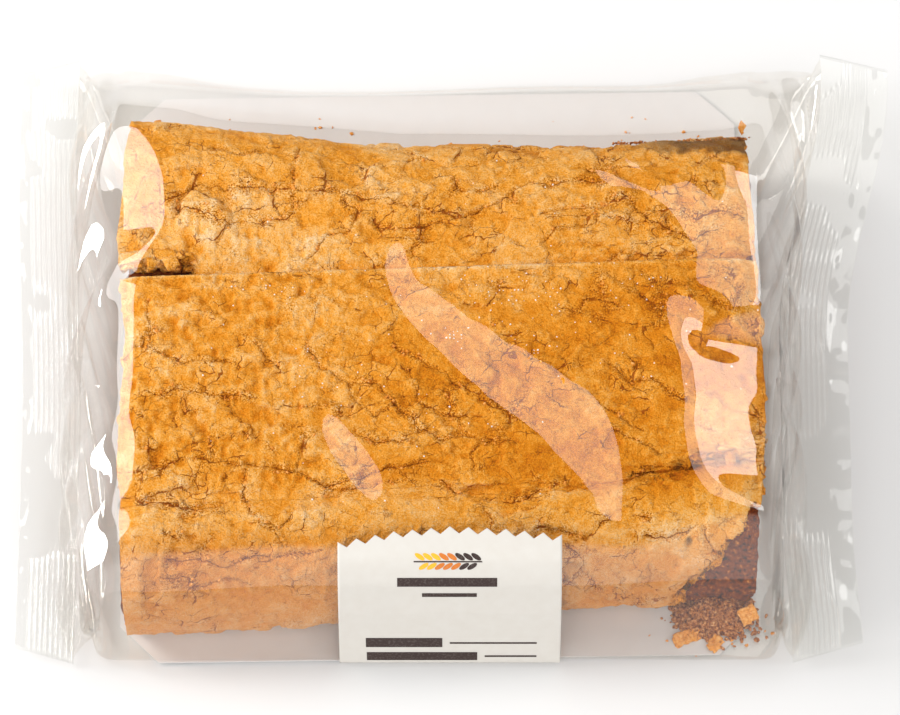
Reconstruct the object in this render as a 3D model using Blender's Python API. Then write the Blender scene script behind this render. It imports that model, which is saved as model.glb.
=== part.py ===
"""Apple strudel in a clear flow-wrap pouch with a paper label.

Two solids: the sealed pouch out to its film, drawn tight over the strudel and the card
it lies on, and the label that is stuck over its front edge and runs on underneath.
Metres, +Z up, +X along the pouch from seal to seal, +Y to the back. The origin is at
the middle of the underside.
"""

import math

import bmesh
import bpy

# Pouch
PACK_WIDTH = 0.182
FRONT_EDGE = -0.0903
BACK_EDGE = 0.0872
EDGE_HEIGHT = 0.0016
EDGE_INSET = 0.0013

# Strudel under the film
ROOF_HEIGHT = 0.0360
FRONT_SHOULDER = (-0.0757, 0.0312)
BACK_SHOULDER = (0.0560, 0.0300)
STRUDEL_LEFT = -0.0905
STRUDEL_RIGHT = 0.0815
END_DROP = 0.0028
END_ROUND = 0.0130
CARD_LEFT = -0.0935
CARD_RIGHT = 0.0835
MIDDLE_SWELL = (-0.024, 0.026, 0.0024)
BACK_SWELL = (0.036, 0.014, 0.0012)
FRONT_VALLEY = (-0.0565, 0.0050, -0.0012)
SEAM_DIP = (0.0115, 0.0040, -0.0010)
BULGES = ((-0.045, -0.028, 0.030, 0.0008), (0.035, 0.030, 0.026, 0.0006), (0.020, -0.040, 0.022, -0.0007))

# Crimped seals: X of each inner edge at the front, and how far it leans out to the back
LEFT_SEAL = -0.1032
LEFT_LEAN = 0.0038
RIGHT_SEAL = 0.0898
RIGHT_LEAN = 0.0142
RIGHT_FRONT_LEAN = 0.0015
LEFT_SEAL_HEIGHT = 0.0085
RIGHT_SEAL_HEIGHT = 0.0110
FRONT_SEAL_HEIGHT = 0.0026
CRIMP_WIDTH = 0.0130
CRIMP_RIDGES = 9
RIDGE_DEPTH = 0.00035
FIN_THICKNESS = 0.0008
LEFT_FRINGE = 0.0030
RIGHT_FRINGE = 0.0060
SEAL_WAVE = 0.0007
SEAL_WAVE_RUN = 0.0135
END_TAPER = 0.26
FRONT_CURL = 0.10
GATHERS = 7
GATHER_DEPTH = 0.0011

# Label
LABEL_LEFT = -0.0312
LABEL_RIGHT = 0.0284
LABEL_THICKNESS = 0.0003
LABEL_GAP = 0.0003
LABEL_TOP = -0.0660
LABEL_UNDER = 0.048
LABEL_TEETH = 12
TOOTH_DEPTH = 0.0019
LABEL_ROWS = 7
LABEL_RECESS = LABEL_THICKNESS + LABEL_GAP
RECESS_MARGIN = 0.0006

# Mesh
SLOPE_STEPS = 4
ROOF_STEPS = 18
TRANSITION_STEPS = 5
BODY_STEPS = 12


def mix(low, high, share):
    """The value a share of the way from low to high."""
    return low + (high - low) * share


def ease(value):
    """A share from 0 to 1 with a soft start and end."""
    value = min(max(value, 0.0), 1.0)
    return value * value * (3.0 - 2.0 * value)


def swell(place, shape):
    """Height of one long rise or dip, given as its middle, half width and height."""
    middle, half_width, height = shape
    return height * math.exp(-(((place - middle) / half_width) ** 2))


def roof_height(x, y):
    """Height of the film over the top of the strudel."""
    height = ROOF_HEIGHT
    for shape in (MIDDLE_SWELL, BACK_SWELL, FRONT_VALLEY, SEAM_DIP):
        height += swell(y, shape)
    for centre_x, centre_y, radius, rise in BULGES:
        height += rise * math.exp(-((x - centre_x) ** 2 + (y - centre_y) ** 2) / radius**2)
    from_end = min(x - STRUDEL_LEFT, STRUDEL_RIGHT - x)
    height -= END_DROP * (1.0 - ease(from_end / END_ROUND))
    front = ease((y - FRONT_SHOULDER[0]) / 0.010)
    back = ease((BACK_SHOULDER[0] - y) / 0.016)
    height = mix(FRONT_SHOULDER[1], height, front)
    return mix(BACK_SHOULDER[1], height, back)


def back_edge(x):
    """The pouch's back edge, which bows in a little along the card."""
    return BACK_EDGE - 0.0022 * math.cos(math.pi * (x + 0.035) / 0.150) ** 2 * ease((0.06 - abs(x + 0.02)) / 0.04)


def top_section(x):
    """Points (y, z) of the film's upper side at x, from the front edge to the back edge."""
    label_x = min(max(x, LABEL_LEFT), LABEL_RIGHT)
    front_x = 0.0 if label_x == x else x - label_x
    points = []
    for step in range(SLOPE_STEPS):
        share = step / SLOPE_STEPS
        y = mix(FRONT_EDGE, FRONT_SHOULDER[0], share)
        z = mix(EDGE_HEIGHT, FRONT_SHOULDER[1], share)
        sag = 0.0009 * math.sin(math.pi * share) * ease(abs(front_x) / 0.010)
        points.append((y + sag, z - sag))
    for step in range(ROOF_STEPS + 1):
        y = mix(FRONT_SHOULDER[0], BACK_SHOULDER[0], step / ROOF_STEPS)
        on_label = y < LABEL_TOP + 0.004 and front_x == 0.0
        points.append((y, roof_height(0.0 if on_label else x, y)))
    for step in range(1, SLOPE_STEPS + 1):
        share = step / SLOPE_STEPS
        y = mix(BACK_SHOULDER[0], back_edge(x), share)
        z = mix(BACK_SHOULDER[1], EDGE_HEIGHT, share)
        points.append((y, z - 0.0012 * math.sin(math.pi * share)))
    return points


def bottom_section(x):
    """Points (y, z) of the underside at x, one below each point of the upper side."""
    under_label = LABEL_LEFT - RECESS_MARGIN <= x <= LABEL_RIGHT + RECESS_MARGIN
    rise = LABEL_RECESS if under_label else 0.0
    top = top_section(x)
    front = FRONT_EDGE + EDGE_INSET
    back = top[-1][0] - EDGE_INSET
    recess_end = front + LABEL_UNDER + RECESS_MARGIN
    points = []
    last = len(top) - 1
    for step in range(last + 1):
        y = mix(front, back, step / last)
        points.append((y, rise if y < recess_end else 0.0))
    return points


class Seal:
    """One crimped end seal: where its inner edge runs and how high it stands."""

    def __init__(self, side):
        self.side = side
        self.fringe = LEFT_FRINGE if side < 0 else RIGHT_FRINGE

    def inner_x(self, y):
        """X of the crimp's inner edge at y: the right one is drawn in at the middle."""
        if self.side < 0:
            return LEFT_SEAL - LEFT_LEAN * ease((y + 0.030) / 0.100)
        drawn_in = RIGHT_LEAN * ease((y - 0.002) / 0.082)
        return RIGHT_SEAL + drawn_in + RIGHT_FRONT_LEAN * ease((-0.055 - y) / 0.030)

    def height(self, y):
        """Height of the seal's middle plane at y."""
        back = LEFT_SEAL_HEIGHT if self.side < 0 else RIGHT_SEAL_HEIGHT
        low = mix(FRONT_SEAL_HEIGHT, back, ease((y + 0.090) / 0.105))
        return low + SEAL_WAVE * math.sin(y / SEAL_WAVE_RUN + self.side)

    def point(self, share, reach):
        """The seal's middle plane at a share of its width and a reach out from the crimp."""
        narrowing = END_TAPER * reach
        front = -PACK_WIDTH / 2 + narrowing
        back = PACK_WIDTH / 2 - narrowing
        y = mix(front, back, share)
        x = self.inner_x(y) + self.side * reach
        return x, y, self.height(y) + FRONT_CURL * reach * ease((-0.06 - y) / 0.03)


def seal_shares():
    """Where each point of a section lands along a seal: the slopes close up at its ends."""
    corner = 0.012
    shares = [corner * step / SLOPE_STEPS for step in range(SLOPE_STEPS)]
    shares += [mix(corner, 1.0 - corner, step / ROOF_STEPS) for step in range(ROOF_STEPS + 1)]
    return shares + [1.0 - corner + corner * step / SLOPE_STEPS for step in range(1, SLOPE_STEPS + 1)]


def seal_ring(seal, reach, ridge):
    """Upper and lower points of the seal at one reach, shifted up or down by its ridge."""
    upper = []
    lower = []
    for share in seal_shares():
        x, y, z = seal.point(share, reach)
        upper.append((x, y, z + ridge + FIN_THICKNESS / 2))
        lower.append((x, y, z + ridge - FIN_THICKNESS / 2))
    return upper, lower


def end_ring(seal, share_out):
    """A ring part of the way from the strudel's end down to the seal's inner edge."""
    top_x = STRUDEL_LEFT if seal.side < 0 else STRUDEL_RIGHT
    card_x = CARD_LEFT if seal.side < 0 else CARD_RIGHT
    sealed_upper, sealed_lower = seal_ring(seal, 0.0, 0.0)
    upper = []
    lower = []
    last = len(sealed_upper) - 1
    for step, (y, z) in enumerate(top_section(top_x)):
        x_end, y_end, z_end = sealed_upper[step]
        gather = math.sin(2.0 * math.pi * GATHERS * step / last) * math.sin(math.pi * share_out)
        shade = ease(step / SLOPE_STEPS) * ease((last - step) / SLOPE_STEPS)
        z_here = mix(z, z_end, share_out) + GATHER_DEPTH * gather * shade
        upper.append((mix(top_x, x_end, share_out), mix(y, y_end, share_out), z_here))
    for step, (y, z) in enumerate(bottom_section(card_x)):
        x_end, y_end, z_end = sealed_lower[step]
        lift = share_out**1.4
        lower.append((mix(card_x, x_end, share_out), mix(y, y_end, share_out), mix(z, z_end, lift)))
    return upper, lower


def crimp_rings(seal):
    """Rings of one seal from its inner edge out to the fringe."""
    half_ridge = CRIMP_WIDTH / (2 * CRIMP_RIDGES)
    rings = []
    for step in range(2 * CRIMP_RIDGES + 1):
        ridge = RIDGE_DEPTH if step % 2 else -RIDGE_DEPTH
        rings.append(seal_ring(seal, step * half_ridge, ridge))
    rings.append(seal_ring(seal, CRIMP_WIDTH + seal.fringe, 0.0))
    return rings


def body_stations():
    """X of the body's sections, with a pair at each side of the label's recess."""
    recess_left = LABEL_LEFT - RECESS_MARGIN
    recess_right = LABEL_RIGHT + RECESS_MARGIN
    step_width = 0.0004
    stations = [recess_left - step_width, recess_left, recess_right, recess_right + step_width]
    near_ends = [STRUDEL_LEFT + END_ROUND * share for share in (0.3, 0.6)]
    near_ends += [STRUDEL_RIGHT - END_ROUND * share for share in (0.6, 0.3)]
    even = [mix(STRUDEL_LEFT, STRUDEL_RIGHT, step / BODY_STEPS) for step in range(1, BODY_STEPS)]
    for x in near_ends + even:
        if min(abs(x - place) for place in stations[:4]) > 0.002:
            stations.append(x)
    return sorted(stations)


def body_ring(x):
    """Upper and lower points of the body's section at x."""
    upper = [(x, y, z) for y, z in top_section(x)]
    lower = [(x, y, z) for y, z in bottom_section(x)]
    return upper, lower


def pouch_rings():
    """Every ring of the pouch from the left fringe to the right one."""
    left = Seal(-1)
    right = Seal(1)
    rings = crimp_rings(left)[::-1]
    for step in range(TRANSITION_STEPS - 1, -1, -1):
        rings.append(end_ring(left, step / TRANSITION_STEPS))
    rings += [body_ring(x) for x in body_stations()]
    for step in range(TRANSITION_STEPS):
        rings.append(end_ring(right, step / TRANSITION_STEPS))
    return rings + crimp_rings(right)


def loft(mesh, rings):
    """Skins a row of rings, each an upper and a lower line of points, and caps its ends."""
    loops = []
    for upper, lower in rings:
        top = [mesh.verts.new(point) for point in upper]
        under = [mesh.verts.new(point) for point in lower]
        loops.append((top, under))
    for (top, under), (next_top, next_under) in zip(loops, loops[1:]):
        for step in range(len(top) - 1):
            mesh.faces.new((top[step], next_top[step], next_top[step + 1], top[step + 1]))
            mesh.faces.new((under[step + 1], next_under[step + 1], next_under[step], under[step]))
        mesh.faces.new((under[0], next_under[0], next_top[0], top[0]))
        mesh.faces.new((top[-1], next_top[-1], next_under[-1], under[-1]))
    for top, under in (loops[0], loops[-1]):
        for step in range(len(top) - 1):
            mesh.faces.new((top[step], top[step + 1], under[step + 1], under[step]))
    bmesh.ops.recalc_face_normals(mesh, faces=mesh.faces)


def label_path():
    """Points (y, z) of the pouch under the label, from its pinked edge to its hidden end."""
    above = [point for point in top_section(0.0) if point[0] <= LABEL_TOP + 0.004]
    path = above[::-1]
    front = FRONT_EDGE + EDGE_INSET
    for step in range(LABEL_ROWS + 1):
        path.append((front + LABEL_UNDER * step / LABEL_ROWS, LABEL_RECESS))
    return path


def outward(path, step):
    """The offset at one point of the path that keeps an even distance from both its legs."""
    normals = []
    for start in (step - 1, step):
        if 0 <= start < len(path) - 1:
            run_y = path[start + 1][0] - path[start][0]
            run_z = path[start + 1][1] - path[start][1]
            length = math.hypot(run_y, run_z)
            normals.append((run_z / length, -run_y / length))
    side_y = sum(normal[0] for normal in normals)
    side_z = sum(normal[1] for normal in normals)
    reach = side_y * normals[0][0] + side_z * normals[0][1]
    return side_y / reach, side_z / reach


def label_rings():
    """Rings of the label across its width: outer line, then inner line, at each half tooth."""
    path = label_path()
    sides = [outward(path, step) for step in range(len(path))]
    rings = []
    for column in range(2 * LABEL_TEETH + 1):
        x = mix(LABEL_LEFT, LABEL_RIGHT, column / (2 * LABEL_TEETH))
        cut = TOOTH_DEPTH if column % 2 else 0.0
        start_y, start_z = path[0]
        run = math.hypot(path[1][0] - start_y, path[1][1] - start_z)
        first = (mix(start_y, path[1][0], cut / run), mix(start_z, path[1][1], cut / run))
        line = [first] + path[1:]
        upper = []
        lower = []
        for (y, z), (side_y, side_z) in zip(line, sides):
            upper.append((x, y + side_y * LABEL_RECESS, z + side_z * LABEL_RECESS))
            lower.append((x, y + side_y * LABEL_GAP, z + side_z * LABEL_GAP))
        rings.append((upper, lower))
    return rings


def add_part(name, collection, material, rings):
    """Makes one solid from its rings and puts it in the collection."""
    mesh = bmesh.new()
    loft(mesh, rings)
    data = bpy.data.meshes.new(name)
    mesh.to_mesh(data)
    mesh.free()
    data.materials.append(material)
    part = bpy.data.objects.new(name, data)
    collection.objects.link(part)
    return part


def plain_material(name, colour, roughness, alpha=1.0):
    """A Principled material of one colour."""
    material = bpy.data.materials.new(name)
    material.use_nodes = True
    shader = material.node_tree.nodes["Principled BSDF"]
    shader.inputs["Base Color"].default_value = (*colour, 1.0)
    shader.inputs["Roughness"].default_value = roughness
    shader.inputs["Metallic"].default_value = 0.0
    shader.inputs["Alpha"].default_value = alpha
    return material


def film_material():
    """Clear polypropylene film over golden crust."""
    return plain_material("clear_film", (0.78, 0.42, 0.12), 0.2)


def label_material():
    """Cream label paper."""
    return plain_material("label_paper", (0.84, 0.80, 0.73), 0.6)


def main():
    """Clears the scene and builds the pouch and its label."""
    for old in list(bpy.data.objects):
        bpy.data.objects.remove(old)
    collection = bpy.data.collections.new("apple_strudel_pack")
    bpy.context.scene.collection.children.link(collection)
    add_part("film_pack", collection, film_material(), pouch_rings())
    add_part("label", collection, label_material(), label_rings())


main()
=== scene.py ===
"""Looks of a packed apple strudel: crust, filling, card, crumbs, clear film and paper label.

Sizes are millimetres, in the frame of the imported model, and each mesh is written in metres.
"""

import logging
import math
from dataclasses import dataclass, field
from enum import Enum

import bmesh
import bpy
import numpy as np
from mathutils import Matrix, Vector


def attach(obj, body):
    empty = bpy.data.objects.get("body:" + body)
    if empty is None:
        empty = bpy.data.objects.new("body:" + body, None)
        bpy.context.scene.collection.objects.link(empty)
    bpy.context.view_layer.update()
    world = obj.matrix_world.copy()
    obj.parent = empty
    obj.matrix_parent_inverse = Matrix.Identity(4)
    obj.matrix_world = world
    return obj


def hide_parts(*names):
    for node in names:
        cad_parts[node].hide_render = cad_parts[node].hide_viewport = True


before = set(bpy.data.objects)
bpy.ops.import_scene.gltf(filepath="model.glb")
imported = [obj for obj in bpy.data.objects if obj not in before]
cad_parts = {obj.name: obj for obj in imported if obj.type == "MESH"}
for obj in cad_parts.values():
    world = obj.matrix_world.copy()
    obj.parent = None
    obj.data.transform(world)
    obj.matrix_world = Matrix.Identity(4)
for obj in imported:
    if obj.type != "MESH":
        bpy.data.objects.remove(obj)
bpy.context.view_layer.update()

Material = bpy.types.Material
Socket = bpy.types.NodeSocket

LOG = logging.getLogger("strudel")
MM = 0.001
POUCH_NODE = "film_pack"
LABEL_NODE = "label"
LABEL_MIDDLE = -1.4  # x of the middle of the label


class Slot(Enum):
    """Material slots of the record that a piece can take its finish from."""

    FILM = "film"
    LABEL = "label_paper"


# ---- shape helpers


def ease(value: np.ndarray) -> np.ndarray:
    """Turns a share into one with a soft start and end, held between 0 and 1.

    Args:
        value: Shares, of any size.

    Returns:
        The eased shares.
    """
    share = np.clip(value, 0.0, 1.0)
    return share * share * (3.0 - 2.0 * share)


def bell(value: np.ndarray) -> np.ndarray:
    """A bell curve of height 1 whose value at 1 is about a third."""
    return np.exp(-(value * value))


class Grain:
    """Repeatable noise that whole arrays of places are read from at once."""

    SIDE = 256

    def __init__(self, seed: int) -> None:
        """Draws the lattice.

        Args:
            seed: Number that settles every draw.
        """
        draws = np.random.default_rng(seed)
        self.heights = draws.uniform(-1.0, 1.0, (self.SIDE, self.SIDE))
        self.places = draws.uniform(0.1, 0.9, (self.SIDE, self.SIDE, 2))

    def value(self, u: np.ndarray, v: np.ndarray) -> np.ndarray:
        """Smooth noise from -1 to 1 with features about one unit wide.

        Args:
            u: First coordinates.
            v: Second coordinates, of the same shape.

        Returns:
            The noise at each place.
        """
        low_u = np.floor(u).astype(int)
        low_v = np.floor(v).astype(int)
        part_u = ease(u - low_u)
        part_v = ease(v - low_v)
        corner = [
            [self.heights[(low_u + i) % self.SIDE, (low_v + j) % self.SIDE] for j in (0, 1)]
            for i in (0, 1)
        ]
        near = corner[0][0] * (1 - part_v) + corner[0][1] * part_v
        far = corner[1][0] * (1 - part_v) + corner[1][1] * part_v
        return near * (1 - part_u) + far * part_u

    def layered(self, u: np.ndarray, v: np.ndarray, layers: int) -> np.ndarray:
        """Sum of noises, each twice as fine and half as strong as the one before.

        Args:
            u: First coordinates.
            v: Second coordinates.
            layers: Number of noises.

        Returns:
            The summed noise, about -1 to 1.
        """
        total = np.zeros(np.broadcast(u, v).shape)
        for layer in range(layers):
            scale = 2.0**layer
            total += self.value(u * scale + 17.3 * layer, v * scale + 9.1 * layer) / scale
        return total / 1.6

    def cells(self, u: np.ndarray, v: np.ndarray) -> tuple[np.ndarray, np.ndarray, np.ndarray]:
        """Irregular cells one unit wide.

        Args:
            u: First coordinates.
            v: Second coordinates, of the same shape.

        Returns:
            How far each place is from its cell's edge, its cell's own number and that of the
            cell over the edge, -1 to 1.
        """
        low_u = np.floor(u).astype(int)
        low_v = np.floor(v).astype(int)
        shape = (*u.shape, 4)
        near = np.full(shape, 9.0)
        following = np.full(shape, 9.0)
        for i in (-1, 0, 1):
            for j in (-1, 0, 1):
                cell_u = (low_u + i) % self.SIDE
                cell_v = (low_v + j) % self.SIDE
                way = np.stack([low_u + i - u, low_v + j - v], axis=-1) + self.places[cell_u, cell_v]
                far = np.sum(way * way, axis=-1, keepdims=True)
                number = self.heights[cell_u, cell_v][..., None]
                cell = np.concatenate([way, far, number], axis=-1)
                closer = far < near[..., 2:3]
                next_closer = far < following[..., 2:3]
                following = np.where(closer, near, np.where(next_closer, cell, following))
                near = np.where(closer, cell, near)
        apart = np.linalg.norm(following[..., :2] - near[..., :2], axis=-1)
        edge = (following[..., 2] - near[..., 2]) / np.maximum(2.0 * apart, 1e-6)
        return edge, near[..., 3], following[..., 3]


def soft_least(one: np.ndarray, other: np.ndarray, blend_mm: float) -> np.ndarray:
    """The lower of two heights, rounded over where they cross."""
    return (one + other - np.sqrt((one - other) ** 2 + blend_mm**2)) / 2.0


def spline(points: np.ndarray, places: np.ndarray) -> np.ndarray:
    """Smooth curve through rows of points.

    Args:
        points: Array (rows, points, 2).
        places: Places along the curve, counted in points.

    Returns:
        Array (rows, places, 2).
    """
    last = points.shape[1] - 1
    low = np.clip(np.floor(places).astype(int), 0, last - 1)
    part = (places - low)[None, :, None]
    before, start = points[:, np.maximum(low - 1, 0)], points[:, low]
    end, after = points[:, low + 1], points[:, np.minimum(low + 2, last)]
    curve = 2 * before - 5 * start + 4 * end - after
    bend = 3 * start - before - 3 * end + after
    return start + 0.5 * part * (end - before + part * (curve + part * bend))


def even_places(points: np.ndarray, count: int) -> tuple[np.ndarray, np.ndarray]:
    """Places on a curve that are evenly spaced along its length.

    Args:
        points: Array (points, 2) of one curve.
        count: Number of places.

    Returns:
        The places, counted in points, and the length from the start to each.
    """
    fine = np.linspace(0.0, len(points) - 1.0, 40 * len(points))
    line = spline(points[None], fine)[0]
    run = np.concatenate([[0.0], np.cumsum(np.hypot(*np.diff(line, axis=0).T))])
    lengths = np.linspace(0.0, run[-1], count)
    return np.interp(lengths, run, fine), lengths


def facing(points: np.ndarray) -> np.ndarray:
    """Unit normals of a grid of points.

    Args:
        points: Array (columns, rows, 3).

    Returns:
        Array of the same shape.
    """
    along = np.gradient(points, axis=0)
    across = np.gradient(points, axis=1)
    normal = np.cross(along, across)
    return normal / np.maximum(np.linalg.norm(normal, axis=2, keepdims=True), 1e-9)


def new_mesh(name: str, work: bmesh.types.BMesh) -> bpy.types.Mesh:
    """Turns a finished bmesh into a mesh and frees it.

    Args:
        name: The mesh's name.
        work: The bmesh.

    Returns:
        The mesh.
    """
    mesh = bpy.data.meshes.new(name)
    work.to_mesh(mesh)
    work.free()
    return mesh


def read_points(mesh: bpy.types.Mesh) -> np.ndarray:
    """Reads a mesh's points.

    Args:
        mesh: The mesh.

    Returns:
        Array (points, 3), in the mesh's own unit.
    """
    flat = np.empty(len(mesh.vertices) * 3, np.float32)
    mesh.vertices.foreach_get("co", flat)
    return flat.reshape(-1, 3).astype(float)


def place_points(mesh: bpy.types.Mesh, points: np.ndarray) -> None:
    """Moves a mesh's points to new places given in millimetres."""
    mesh.vertices.foreach_set("co", (points * MM).astype(np.float32).ravel())
    mesh.update()


def keep_field(mesh: bpy.types.Mesh, name: str, values: np.ndarray) -> None:
    """Keeps one number for each point of a mesh, for its material to read."""
    layer = mesh.attributes.new(name, "FLOAT", "POINT")
    layer.data.foreach_set("value", values.astype(np.float32).ravel())


def grid_mesh(name: str, points: np.ndarray, **fields: np.ndarray) -> bpy.types.Mesh:
    """Shapes a grid into a mesh.

    Args:
        name: The mesh's name.
        points: Millimetre places, (columns, rows, 3).
        fields: Values (columns, rows) kept on the points under their names.

    Returns:
        The mesh, in metres.
    """
    columns, rows = points.shape[:2]
    work = bmesh.new()
    bmesh.ops.create_grid(work, x_segments=columns - 1, y_segments=rows - 1, size=0.5)
    mesh = new_mesh(name, work)
    flat = read_points(mesh)
    column = np.rint((flat[:, 0] + 0.5) * (columns - 1)).astype(int)
    row = np.rint((flat[:, 1] + 0.5) * (rows - 1)).astype(int)
    place_points(mesh, points[column, row])
    for field_name, values in fields.items():
        keep_field(mesh, field_name, values[column, row])
    return mesh


def drop_faces(mesh: bpy.types.Mesh, field_name: str, least: float) -> None:
    """Deletes the faces with a point whose field isn't above a value.

    Args:
        mesh: The mesh to cut.
        field_name: Name of the field.
        least: The value.
    """
    values = np.empty(len(mesh.vertices), np.float32)
    mesh.attributes[field_name].data.foreach_get("value", values)
    work = bmesh.new()
    work.from_mesh(mesh)
    lost = [face for face in work.faces if any(values[vert.index] <= least for vert in face.verts)]
    bmesh.ops.delete(work, geom=lost, context="FACES")
    work.to_mesh(mesh)
    work.free()


def join_seam(mesh: bpy.types.Mesh) -> None:
    """Merges the doubled points where a sheet meets itself, and turns its faces out.

    Args:
        mesh: The mesh to mend.
    """
    work = bmesh.new()
    work.from_mesh(mesh)
    bmesh.ops.remove_doubles(work, verts=work.verts, dist=1e-7)
    bmesh.ops.recalc_face_normals(work, faces=work.faces)
    work.to_mesh(mesh)
    work.free()


def add_piece(
    name: str, mesh: bpy.types.Mesh, material: Material, node: str
) -> bpy.types.Object:
    """Puts a piece in the scene and ties it to the frame.

    Args:
        name: The piece's name.
        mesh: Its mesh, in place.
        material: Its finish.
        node: The solid that it stands for.

    Returns:
        The new object.
    """
    mesh.shade_smooth()
    if not mesh.materials:
        mesh.materials.append(material)
    piece = bpy.data.objects.new(name, mesh)
    bpy.context.scene.collection.objects.link(piece)
    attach(piece, "root")
    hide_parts(node)
    LOG.info("%s: %d points, %d faces", name, len(mesh.vertices), len(mesh.polygons))
    return piece


def thicken(piece: bpy.types.Object, thickness: float) -> None:
    """Gives an open sheet its thickness, inward from the side that shows.

    Args:
        piece: The sheet.
        thickness: Its thickness in millimetres.
    """
    wall = piece.modifiers.new("thickness", "SOLIDIFY")
    wall.thickness = thickness * MM
    wall.offset = -1.0
    wall.use_even_offset = False
    wall.use_rim = True


# ---- finishes


def tone(code: str) -> tuple[float, float, float, float]:
    """Turns an sRGB hex value into a linear colour.

    Args:
        code: The value, as #rrggbb.

    Returns:
        Red, green, blue and an alpha of 1.
    """
    parts = [int(code[i : i + 2], 16) / 255.0 for i in (1, 3, 5)]
    linear = [p / 12.92 if p <= 0.04045 else ((p + 0.055) / 1.055) ** 2.4 for p in parts]
    return (*linear, 1.0)


def add_node(
    tree: bpy.types.NodeTree, kind: str, settings: dict | None = None, **links: object
) -> bpy.types.Node:
    """Adds a shader node with its settings, socket values and links.

    Args:
        tree: The material's node tree.
        kind: The node's type name.
        settings: Properties of the node itself, and "stops" for a ramp's places and hex colours.
        links: Inputs by name, with _ for a space: a socket to link, or a value. A name of
            the form in_0 means the input of that number.

    Returns:
        The new node.
    """
    node = tree.nodes.new(kind)
    for name, value in (settings or {}).items():
        if name != "stops":
            setattr(node, name, value)
            continue
        for index, (place, code) in enumerate(value):
            elements = node.color_ramp.elements
            element = elements[index] if index < 2 else elements.new(place)
            element.position = place
            element.color = tone(code)
    for name, value in links.items():
        socket = node.inputs[int(name[3:]) if name.startswith("in_") else name.replace("_", " ")]
        if isinstance(value, Socket):
            tree.links.new(value, socket)
        else:
            socket.default_value = value
    return node


def new_material(name: str) -> tuple[Material, bpy.types.NodeTree]:
    """Starts an empty material.

    Args:
        name: What the real material is.

    Returns:
        The material and its node tree.
    """
    material = bpy.data.materials.new(name)
    material.use_nodes = True
    material.node_tree.nodes.clear()
    return material, material.node_tree


def show(material: Material, shader: bpy.types.Node) -> Material:
    """Makes a shader the material's surface.

    Args:
        material: The material.
        shader: Its last shader node.

    Returns:
        The material.
    """
    output = material.node_tree.nodes.new("ShaderNodeOutputMaterial")
    material.node_tree.links.new(shader.outputs[0], output.inputs["Surface"])
    return material


# Node types and settings that the finishes share.
PLACES = "ShaderNodeTexCoord"
NOISE = "ShaderNodeTexNoise"
MATH = "ShaderNodeMath"
VECTORS = "ShaderNodeVectorMath"
MIX = "ShaderNodeMix"
RAMP = "ShaderNodeValToRGB"
RANGE = "ShaderNodeMapRange"
BUMP = "ShaderNodeBump"
PRINCIPLED = "ShaderNodeBsdfPrincipled"
COLOURS = {"data_type": "RGBA", "clamp_factor": True}
TIMES = {"operation": "MULTIPLY"}
TIMES_PLUS = {"operation": "MULTIPLY_ADD"}
ABSOLUTE = {"operation": "ABSOLUTE"}
SOFT = {"interpolation_type": "SMOOTHSTEP"}


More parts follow.
